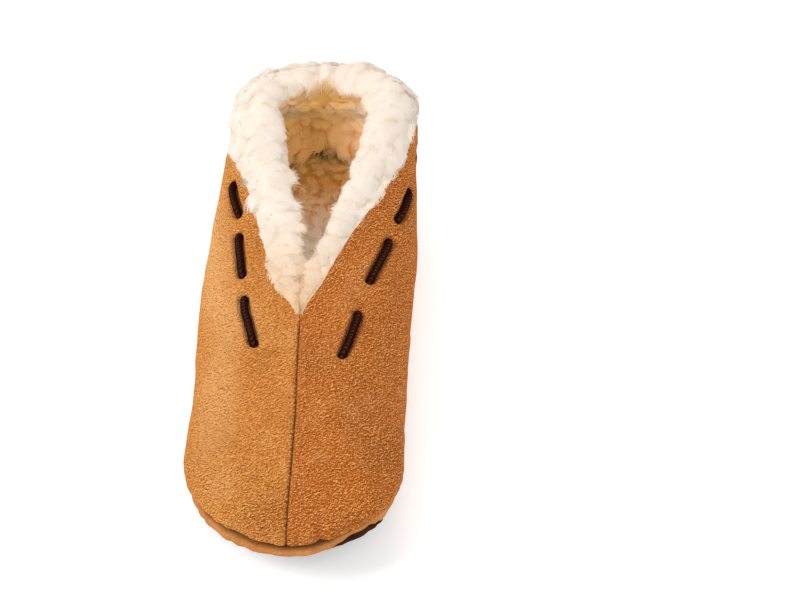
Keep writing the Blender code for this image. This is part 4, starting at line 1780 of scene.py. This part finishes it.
@dataclass
class Cord:
    """The braided cord, threaded in and out round the collar with its ends hidden inside.

    outside, sunk, at_hole and inside are how deep its middle lies under the suede's face in the front
    stitches, in the hind stitches, in the holes and within. It takes `dive` along the wall to pass a
    hole, and its ribs slant across it.
    """

    last: Last
    track: CordTrack
    radius: float = 1.9
    sides: int = 24
    pace: float = 0.45
    dive: float = 3.2
    hidden: float = 6.0
    outside: float = 0.35
    sunk: float = 2.3
    at_hole: float = 1.8
    inside: float = 5.2
    arch: float = 0.3
    rib_pitch: float = 1.9
    rib_depth: float = 0.18
    slant: float = 0.8

    def side_line(self, side: int) -> tuple[Array, Array]:
        """Return the cord's centre line and the outward directions on one side, from front to heel.

        Args:
            side: RIGHT or LEFT.

        Returns:
            The points and the directions, each of shape (n, 3).
        """
        marks = np.linspace(self.track.start, self.last.back, 900)
        run = self.track.run(marks, side)
        spans = self.track.spans(side)
        knots, depths = [spans[0][0] - self.dive - self.hidden], [self.inside]
        for number, (start, end) in enumerate(spans):
            out = self.outside if number < self.track.shown else self.sunk
            knots += [start - self.dive, start, start + self.dive, (start + end) / 2]
            knots += [end - self.dive, end, end + self.dive]
            depths += [self.inside, self.at_hole, out, out - self.arch, out, self.at_hole, self.inside]
        depth = Column(knots, depths)
        stops = np.arange(knots[0], run[-1], self.pace)
        stops = np.append(stops, run[-1])
        at = np.interp(stops, run, marks)
        below = self.last.cord_below(at, side)[:, None]
        points = self.last.wall_points(at, side, below)[:, 0]
        outward = self.last.wall_normals(at, side, below)[:, 0]
        return points - depth.read(stops)[:, None] * outward, outward

    def build(self, finish: Material) -> Object:
        """Sweep the braid along the whole path and dress it.

        Args:
            finish: The cord's cotton.

        Returns:
            The cord.
        """
        (right, right_out), (left, left_out) = self.side_line(RIGHT), self.side_line(LEFT)
        line = np.concatenate([right, left[-2::-1]])
        outward = np.concatenate([right_out, left_out[-2::-1]])
        way = unit(np.gradient(line, axis=0))
        across = unit(outward - way * np.sum(outward * way, axis=1, keepdims=True))
        other = np.cross(way, across)
        run = travelled(line)[:, None]
        turn = np.linspace(0, 2 * math.pi, self.sides, endpoint=False)[None, :]
        folded = np.abs((turn + math.pi) % (2 * math.pi) - math.pi)
        yarn = np.abs(np.sin(math.pi * (run / self.rib_pitch + self.slant * folded))) ** 0.7
        radius = (self.radius - self.rib_depth + self.rib_depth * yarn)[..., None]
        round_it = np.cos(turn)[..., None] * across[:, None] + np.sin(turn)[..., None] * other[:, None]
        rings = line[:, None] + radius * round_it
        # crown marks the crowns of the ribs on the side that faces out: partly the braid's own light dots,
        # partly a painted highlight. yarn is low in the grooves, which take painted shade.
        crown = yarn * hump(folded, 0.9)
        values = {"yarn": yarn.ravel(), "crown": crown.ravel()}
        return closed_piece("braided_cord", sweep(rings), values, Slot.CORD, finish, "cord")


# ---- finishes ----


class Nodes:
    """Short calls for building a node tree. Where they take a number they take a socket too."""

    def __init__(self, tree: NodeTree) -> None:
        """Keep the tree."""
        self.tree = tree

    def fill(self, node: Node, inputs: Inputs) -> None:
        """Set a node's inputs to values, or link them from sockets, by name or number.

        Args:
            node: The node.
            inputs: Values, or sockets to link from.
        """
        for key, value in inputs.items():
            if isinstance(value, Socket):
                self.tree.links.new(value, node.inputs[key])
            else:
                node.inputs[key].default_value = value

    def add(self, kind: str, inputs: Inputs | None = None, **settings: object) -> Node:
        """Add a node, set its properties and fill its inputs.

        Args:
            kind: The node's type without the ShaderNode prefix, or the full type.
            inputs: Values, or sockets to link from, by input name or number.
            settings: Properties of the node.

        Returns:
            The node.
        """
        node = self.tree.nodes.new(kind if kind.startswith("Node") else f"ShaderNode{kind}")
        for name, value in settings.items():
            setattr(node, name, value)
        self.fill(node, inputs or {})
        return node

    def math(self, operation: str, *values: object) -> Socket:
        """Return the result of a sum."""
        return self.add("Math", dict(enumerate(values)), operation=operation).outputs[0]

    def times(self, a: object, b: object) -> Socket:
        """Return a product."""
        return self.math("MULTIPLY", a, b)

    def vector(self, operation: str, a: object, b: object) -> Socket:
        """Return the result of a sum on two vectors."""
        return self.add("VectorMath", {0: a, 1: b}, operation=operation).outputs[0]

    def scaled(self, vector: object, by: object) -> Socket:
        """Return a vector times a number."""
        return self.add("VectorMath", {0: vector, "Scale": by}, operation="SCALE").outputs[0]

    def mix(self, factor: object, a: object, b: object) -> Socket:
        """Return a mix of two colours."""
        return self.add("Mix", {0: factor, 6: a, 7: b}, data_type="RGBA").outputs[2]

    def ramp(self, value: object, low: float, high: float) -> Socket:
        """Return 0 below low and 1 above high, smooth between."""
        inputs = {"Value": value, "From Min": low, "From Max": high}
        return self.add("MapRange", inputs, interpolation_type="SMOOTHSTEP").outputs[0]

    def noise(self, where: Socket, scale: object, **inputs: float) -> Socket:
        """Return soft noise at a place."""
        return self.add("TexNoise", {"Vector": where, "Scale": scale, **inputs}).outputs["Fac"]

    def attribute(self, name: str) -> Socket:
        """Return a point value of the mesh."""
        return self.add("Attribute", attribute_name=name).outputs["Fac"]

    def group(self, tree: NodeTree, **values: float) -> Node:
        """Place a shared group with its own values."""
        return self.add("Group", values, node_tree=tree)

    def bump(self, nap: Node, strength: float, depth: float) -> Socket:
        """Return the surface's direction, roughened by the nap to a depth in millimetres."""
        inputs = {"Strength": strength, "Distance": depth * MM, "Height": nap.outputs["Height"]}
        return self.add("Bump", inputs).outputs[0]


class Effects:
    """The node groups that several finishes share."""

    def __init__(self) -> None:
        """Build each group once."""
        self.nap = self.group("nap", {"Scale": 850.0, "Brushed": 0.85}, self.nap_of)
        self.mottle = self.group("mottle", {"Size": 40.0, "Contrast": 1.0}, self.mottle_of)

    def group(
        self, name: str, inputs: dict[str, float], effect: Callable[..., dict[str, Socket]]
    ) -> NodeTree:
        """Build a node group of numbers.

        Args:
            name: The group's name.
            inputs: The default of each input.
            effect: Builds the inside, from the nodes and the input sockets to the output sockets.

        Returns:
            The group.
        """
        tree = bpy.data.node_groups.new(name, "ShaderNodeTree")
        for key, value in inputs.items():
            socket = tree.interface.new_socket(name=key, in_out="INPUT", socket_type="NodeSocketFloat")
            socket.default_value = value
        nodes = Nodes(tree)
        results = effect(nodes, *list(nodes.add("NodeGroupInput").outputs)[: len(inputs)])
        for key in results:
            tree.interface.new_socket(name=key, in_out="OUTPUT", socket_type="NodeSocketFloat")
        nodes.add("NodeGroupOutput", results)
        return tree

    def nap_of(self, nodes: Nodes, scale: Socket, brushed: Socket) -> dict[str, Socket]:
        """Return a crimped nap: its height, and masks of the lit and the hidden side of each crimp.

        The crimps are lit as if from one fixed side: their height is read twice, a little apart along
        the part of that direction that lies in the surface.

        Args:
            nodes: The group's nodes.
            scale: How fine the crimps are.
            brushed: How stretched they are along the brushing.

        Returns:
            The outputs by name.
        """
        light, apart, brush_turn = (0.30, -0.70, -0.65), 0.3, 1.05
        where = nodes.add("TexCoord").outputs["Object"]
        facing = nodes.add("NewGeometry").outputs["Normal"]
        into = nodes.add("VectorMath", {0: facing, 1: light}, operation="DOT_PRODUCT").outputs["Value"]
        level = nodes.vector("SUBTRACT", light, nodes.scaled(facing, into))
        heights = []
        for offset in (0.0, apart * MM):
            moved = nodes.vector("ADD", where, nodes.scaled(level, offset))
            turn = {"Vector": moved, "Angle": brush_turn}
            turned = nodes.add("VectorRotate", turn, rotation_type="Z_AXIS").outputs[0]
            stretch = nodes.add("CombineXYZ", {0: 1.0, 1: brushed, 2: 0.9}).outputs[0]
            along = nodes.vector("MULTIPLY", turned, stretch)
            crimp = nodes.noise(along, scale, Detail=1.6, Roughness=0.55, Distortion=0.5)
            hair = nodes.noise(along, nodes.times(scale, 2.6), Detail=1.0)
            heights.append(nodes.math("ADD", nodes.times(crimp, 0.8), nodes.times(hair, 0.2)))
        raised = nodes.times(nodes.math("SUBTRACT", heights[0], 0.5), 0.45)
        lit = nodes.math("ADD", nodes.math("SUBTRACT", heights[1], heights[0]), raised)
        crest, pit = nodes.ramp(lit, 0.0, 0.13), nodes.ramp(lit, 0.0, -0.13)
        return {"Height": heights[0], "LitSide": crest, "ShadedSide": pit}

    def mottle_of(self, nodes: Nodes, size: Socket, contrast: Socket) -> dict[str, Socket]:
        """Return slow and quick changes of tone round a half.

        Args:
            nodes: The group's nodes.
            size: How fine the mottle is.
            contrast: How strong it is.

        Returns:
            The outputs by name.
        """
        where = nodes.add("TexCoord").outputs["Object"]
        slow = nodes.noise(where, size, Detail=4.0, Roughness=0.6)
        off_middle = nodes.times(nodes.math("SUBTRACT", slow, 0.5), contrast)
        return {"Tone": nodes.math("ADD", off_middle, 0.5)}


@dataclass(frozen=True)
class Finish:
    """A finish. Each kind keeps its colours and says what goes on its shader."""

    name: str

    def make(self, effects: Effects) -> Material:
        """Build the material.

        Args:
            effects: The shared groups.

        Returns:
            The material.
        """
        made = bpy.data.materials.new(self.name)
        made.use_nodes = True
        nodes = Nodes(made.node_tree)
        nodes.fill(made.node_tree.nodes["Principled BSDF"], self.paint(nodes, effects))
        return made

    def paint(self, nodes: Nodes, effects: Effects) -> Inputs:
        """Return the inputs of the shader.

        Args:
            nodes: The material's nodes.
            effects: The shared groups.

        Returns:
            Values and sockets by input name.
        """
        raise NotImplementedError


@dataclass(frozen=True)
class SuedeFinish(Finish):
    """Napped suede in two shades, the left lighter partly in its own tone and partly as painted light from
    the left. It is darker at its seams, with painted shade in its troughs and creases and where it meets the
    sole, and painted light and painted shade on the two sides of each crimp of the nap.
    """

    name: str = "napped_suede"
    # left and right are the two halves' shades; the left is lighter partly in its own tone and partly as
    # painted light from the left.
    left: Colour = (0.49, 0.18, 0.032, 1.0)
    right: Colour = (0.395, 0.104, 0.013, 1.0)
    deep: Colour = (0.24, 0.072, 0.013, 1.0)
    crest: Colour = (0.77, 0.46, 0.19, 1.0)
    # seam is the dark of the seams, and also the painted shade where the upper meets the sole.
    seam: Colour = (0.075, 0.024, 0.008, 1.0)
    # The next two colours are the painted light and the painted shade on the two sides of each crimp of the
    # nap.
    pale: Colour = (0.86, 0.385, 0.13, 1.0)
    shaded_crimp: Colour = (0.20, 0.036, 0.001, 1.0)
    sheen: Colour = (1.0, 0.66, 0.36, 1.0)
    nap_scale: float = 1220.0
    bump: float = 1.0
    # How strongly the painted shade and the painted light of the crimps show.
    shaded_sides: float = 0.95
    lit_sides: float = 1.0
    stitch_pitch: float = 2.4 * MM

    def paint(self, nodes: Nodes, effects: Effects) -> Inputs:
        """Return the inputs of the shader: the two shades, then one layer over another.

        Args:
            nodes: The material's nodes.
            effects: The shared groups.

        Returns:
            Values and sockets by input name.
        """
        nap = nodes.group(effects.nap, Scale=self.nap_scale)
        broad = nodes.group(effects.mottle, Size=34.0, Contrast=1.6).outputs[0]
        patch = nodes.group(effects.mottle, Size=120.0, Contrast=1.4).outputs[0]
        tone = nodes.math("ADD", nodes.times(broad, 0.6), nodes.times(patch, 0.4))
        layers = (
            (nodes.ramp(tone, 0.56, 0.25), 0.26, self.deep),
            (nodes.ramp(tone, 0.5, 0.8), 0.22, self.crest),
            # Patches of uneven tone, partly painted shade and painted light.
            (nodes.attribute("shade"), 0.72, self.deep),
            (nodes.attribute("bright"), 0.58, self.crest),
            # Painted light and painted shade on the two sides of each crimp.
            (nap.outputs["LitSide"], self.lit_sides, self.pale),
            (nap.outputs["ShadedSide"], self.shaded_sides, self.shaded_crimp),
            # Painted shade in the troughs of the cord and in the creases.
            (nodes.attribute("trough_shade"), 0.15, self.deep),
            # Darker where the upper meets the sole: partly the dark seam, partly painted shade in the gap.
            (nodes.attribute("sole"), 0.75, self.seam),
        )
        base = nodes.mix(nodes.attribute("half"), self.left, self.right)
        for mask, amount, colour in layers:
            base = nodes.mix(nodes.times(mask, amount), base, colour)
        where = nodes.add("SeparateXYZ", {0: nodes.add("TexCoord").outputs["Object"]}).outputs["Y"]
        turn = nodes.math("SINE", nodes.times(where, 2 * math.pi / self.stitch_pitch))
        dots = nodes.times(nodes.ramp(turn, -0.2, 0.5), nodes.attribute("stitch"))
        line = nodes.times(nodes.ramp(nodes.attribute("seam"), 0.15, 0.9), 0.75)
        sewn = nodes.math("MAXIMUM", line, nodes.times(dots, 0.65))
        return {
            "Base Color": nodes.mix(sewn, base, self.seam),
            "Normal": nodes.bump(nap, self.bump, 1.0),
            "Roughness": 0.95,
            "IOR": 1.0,
            "Sheen Weight": 0.08,
            "Sheen Roughness": 0.5,
            "Sheen Tint": self.sheen,
        }


@dataclass(frozen=True)
class FleeceFinish(Finish):
    """Cream wool, turned golden inside the slipper by painted warm shade, darker and warmer at the roots as
    painted shade between the fibres, warmer in some locks, and dark where painted shade lies in the corners.

    cream and golden hold the colour of the roots, the tips and the warm locks. The cream wool glows a little
    where its back is seen: painted light, an emission that stands in for light coming through it.
    """

    name: str = "brushed_fleece"
    cream: tuple[Colour, Colour, Colour] = (
        (0.645, 0.555, 0.46, 1.0),
        (0.72, 0.665, 0.61, 1.0),
        (0.67, 0.59, 0.49, 1.0),
    )
    # golden is the painted warm shade of the wool inside the slipper.
    golden: tuple[Colour, Colour, Colour] = (
        (0.81, 0.385, 0.075, 1.0),
        (0.95, 0.625, 0.24, 1.0),
        (0.77, 0.365, 0.075, 1.0),
    )
    # dark is the painted shade of wool deep in a corner.
    dark: Colour = (0.03, 0.008, 0.001, 1.0)
    black: Colour = (0.0, 0.0, 0.0, 1.0)
    bump: float = 0.12
    # glow is painted light: the backs of the cream fibres give off light, standing in for light that comes
    # through the wool.
    glow: float = 0.30

    def paint(self, nodes: Nodes, effects: Effects) -> Inputs:
        """Return the inputs of the shader.

        Args:
            nodes: The material's nodes.
            effects: The shared groups.

        Returns:
            Values and sockets by input name.
        """
        # gold mixes in the golden painted warm shade.
        gold = nodes.attribute("gold")
        root, tip, warm = (nodes.mix(gold, a, b) for a, b in zip(self.cream, self.golden))
        # Darker roots are painted shade between the fibres.
        base = nodes.mix(nodes.ramp(nodes.attribute("tip"), 0.0, 0.7), root, tip)
        tones = nodes.group(effects.mottle, Size=70.0, Contrast=2.0)
        lock = nodes.times(nodes.attribute("lock"), tones.outputs[0])
        base = nodes.mix(nodes.times(lock, 0.8), base, warm)
        # deep mixes in the dark painted shade.
        base = nodes.mix(nodes.attribute("deep"), base, self.dark)
        # Painted light on the backs of the cream fibres.
        behind = nodes.add("NewGeometry").outputs["Backfacing"]
        through = nodes.times(behind, nodes.math("SUBTRACT", 1.0, gold))
        return {
            "Base Color": base,
            "Normal": nodes.bump(nodes.group(effects.nap, Scale=1300.0, Brushed=1.0), self.bump, 0.6),
            "Roughness": 1.0,
            "IOR": 1.0,
            "Emission Color": nodes.mix(through, self.black, base),
            "Emission Strength": self.glow,
        }


@dataclass(frozen=True)
class CordFinish(Finish):
    """Dark brown cotton, darker in the grooves between the yarns as painted shade, and lighter on the crowns
    that face out, partly the braid's own light dots and partly a painted highlight.
    """

    name: str = "braided_cotton"
    # groove is the painted shade between the yarns; light is the lighter crown that faces out, partly the
    # braid's own dots and partly a painted highlight.
    crown: Colour = (0.028, 0.0055, 0.0028, 1.0)
    groove: Colour = (0.006, 0.0014, 0.0008, 1.0)
    light: Colour = (0.062, 0.026, 0.016, 1.0)

    def paint(self, nodes: Nodes, effects: Effects) -> Inputs:
        """Return the inputs of the shader.

        Args:
            nodes: The material's nodes.
            effects: The shared groups.

        Returns:
            Values and sockets by input name.
        """
        base = nodes.mix(nodes.ramp(nodes.attribute("yarn"), 0.35, 0.95), self.groove, self.crown)
        return {
            "Base Color": nodes.mix(nodes.ramp(nodes.attribute("crown"), 0.5, 1.0), base, self.light),
            "Normal": nodes.bump(nodes.group(effects.nap, Scale=2600.0, Brushed=1.0), 0.4, 0.3),
            "Roughness": 0.75,
            "IOR": 1.05,
        }


@dataclass(frozen=True)
class LeatherFinish(Finish):
    """Thin, very dark outsole leather, dull where it wears."""

    name: str = "outsole_leather"
    colour: Colour = (0.024, 0.0075, 0.004, 1.0)
    worn: Colour = (0.05, 0.016, 0.008, 1.0)

    def paint(self, nodes: Nodes, effects: Effects) -> Inputs:
        """Return the inputs of the shader.

        Args:
            nodes: The material's nodes.
            effects: The shared groups.

        Returns:
            Values and sockets by input name.
        """
        tone = nodes.group(effects.mottle, Size=45.0, Contrast=2.4).outputs[0]
        return {
            "Base Color": nodes.mix(nodes.ramp(tone, 0.45, 0.8), self.colour, self.worn),
            "Normal": nodes.bump(nodes.group(effects.nap, Scale=1500.0, Brushed=1.0), 0.35, 0.4),
            "Roughness": nodes.math("ADD", nodes.times(nodes.ramp(tone, 0.2, 0.9), 0.25), 0.6),
            "IOR": 1.06,
        }


@dataclass(frozen=True)
class FloorFinish(Finish):
    """The plain pale floor."""

    name: str = "pale_floor"
    colour: Colour = (0.93, 0.93, 0.93, 1.0)
    shade: float = 0.985
    glow: float = 0.30

    def paint(self, nodes: Nodes, effects: Effects) -> Inputs:
        """Return the inputs of the shader.

        Args:
            nodes: The material's nodes.
            effects: The shared groups.

        Returns:
            Values and sockets by input name.
        """
        tone = nodes.group(effects.mottle, Size=3.0, Contrast=0.3).outputs[0]
        shade = tuple(c * self.shade for c in self.colour[:3]) + (1.0,)
        return {
            "Base Color": nodes.mix(tone, self.colour, shade),
            "Roughness": 0.9,
            "Emission Color": self.colour,
            "Emission Strength": self.glow,
        }


# ---- the studio ----


@dataclass(frozen=True)
class Beam:
    """A soft round light: where it hangs, what it aims at, how wide it opens and how strong it is."""

    name: str
    where: Place
    aim: Place
    spread: float
    power: float


@dataclass
class Studio:
    """Floor, soft lights and camera, in metres."""

    floor_half: float = 6.0
    eye: Place = (0.066588, -0.77908, 0.947147)
    right: Place = (0.99870703, 0.04813757, 0.01634127)
    up: Place = (-0.04710898, 0.75556458, 0.65337808)
    lens: float = 113.06
    sensor: float = 36.0
    world: float = 0.56
    middle: Place = (0.0, 0.0, 0.04)
    panels: tuple[tuple[str, Place, float, float], ...] = (
        ("key", (-1.3, -0.35, 1.25), 0.8, 20.0),
        ("fill", (0.25, -1.5, 2.0), 1.2, 9.0),
        ("side", (1.5, -0.3, 1.1), 1.4, 9.0),
        ("rim", (-0.1, 1.3, 1.6), 1.0, 7.0),
    )
    beams: tuple[Beam, ...] = (
        Beam("opening", (0.12, -1.15, 1.6), (0.002, 0.06, 0.06), 0.105, 9.0),
        Beam("heel", (0.04, -1.05, 1.5), (0.002, 0.08, 0.06), 0.045, 50.0),
        Beam("lining", (0.03, -1.35, 0.95), (0.002, 0.105, 0.048), 0.045, 55.0),
    )

    def build(self, effects: Effects) -> None:
        """Build the floor, the world, the lights and the camera.

        Args:
            effects: The shared groups.
        """
        self.camera()
        self.floor(FloorFinish().make(effects))
        for name, where, size, power in self.panels:
            data = bpy.data.lights.new(name, "AREA")
            data.size = size
            self.hang(data, where, self.middle, power)
        for beam in self.beams:
            data = bpy.data.lights.new(beam.name, "SPOT")
            data.spot_size = beam.spread
            data.spot_blend = 1.0
            data.shadow_soft_size = 0.12
            self.hang(data, beam.where, beam.aim, beam.power)
        world = bpy.data.worlds.new("studio")
        world.use_nodes = True
        white = {"Color": (1.0, 1.0, 1.0, 1.0), "Strength": self.world}
        Nodes(world.node_tree).fill(world.node_tree.nodes["Background"], white)
        bpy.context.scene.world = world
        bpy.context.scene.view_settings.view_transform = "Standard"

    def camera(self) -> None:
        """Set the camera, rolled a little as it was held."""
        data = bpy.data.cameras.new("camera")
        data.lens = self.lens
        data.sensor_width = self.sensor
        data.clip_end = 30.0
        seen = bpy.data.objects.new("camera", data)
        right, up = Vector(self.right), Vector(self.up)
        turned = Matrix((right, up, right.cross(up))).transposed()
        seen.matrix_world = Matrix.Translation(Vector(self.eye)) @ turned.to_4x4()
        bpy.context.scene.collection.objects.link(seen)
        bpy.context.scene.camera = seen

    def floor(self, finish: Material) -> None:
        """Lay the floor.

        Args:
            finish: The material.
        """
        span = self.floor_half / MM
        side = np.linspace(-span, span, 9)
        x, y = np.meshgrid(side, side, indexing="ij")
        points = np.stack([x, y, 0 * x], axis=-1).reshape(-1, 3)
        floor = make_object("floor", points, grid_faces(len(side), len(side)), {})
        floor.data.materials.append(finish)

    def hang(self, data: bpy.types.Light, where: Place, aim: Place, power: float) -> None:
        """Hang a light and turn it towards its aim.

        Args:
            data: The light.
            where: Its place.
            aim: What it faces.
            power: Its strength.
        """
        data.energy = power
        lamp = bpy.data.objects.new(data.name, data)
        lamp.location = where
        lamp.rotation_euler = (Vector(aim) - Vector(where)).to_track_quat("-Z", "Y").to_euler()
        bpy.context.scene.collection.objects.link(lamp)


def main() -> None:
    """Build the studio and every piece in order."""
    logging.basicConfig(level=logging.INFO, format="%(name)s: %(message)s")
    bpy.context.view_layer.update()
    effects = Effects()
    Studio().build(effects)
    last = Last()
    track = CordTrack(last)
    suede = SuedeFinish().make(effects)
    fleece = FleeceFinish().make(effects)
    Upper(last, track).build(suede)
    sole = Sole(last)
    tan = (0.47, 0.185, 0.055, 1.0)
    sole.build(SuedeFinish("sole_suede", tan, tan, bump=0.6, shaded_sides=0.3, lit_sides=0.3).make(effects))
    leather = LeatherFinish().make(effects)
    outsole = Sheet(last, "outsole_leather", "outsole", last.outsole_in, last.outsole_thick, last.rise)
    outsole.build(Slot.OUTSOLE, leather)
    TurnedEdge(sole).build(leather)
    Footbed(last).build(fleece)
    cuff = Cuff(last)
    Lining(last, cuff).build(fleece)
    cuff.build(fleece)
    Cord(last, track).build(CordFinish().make(effects))


if __name__ == "__main__":
    main()
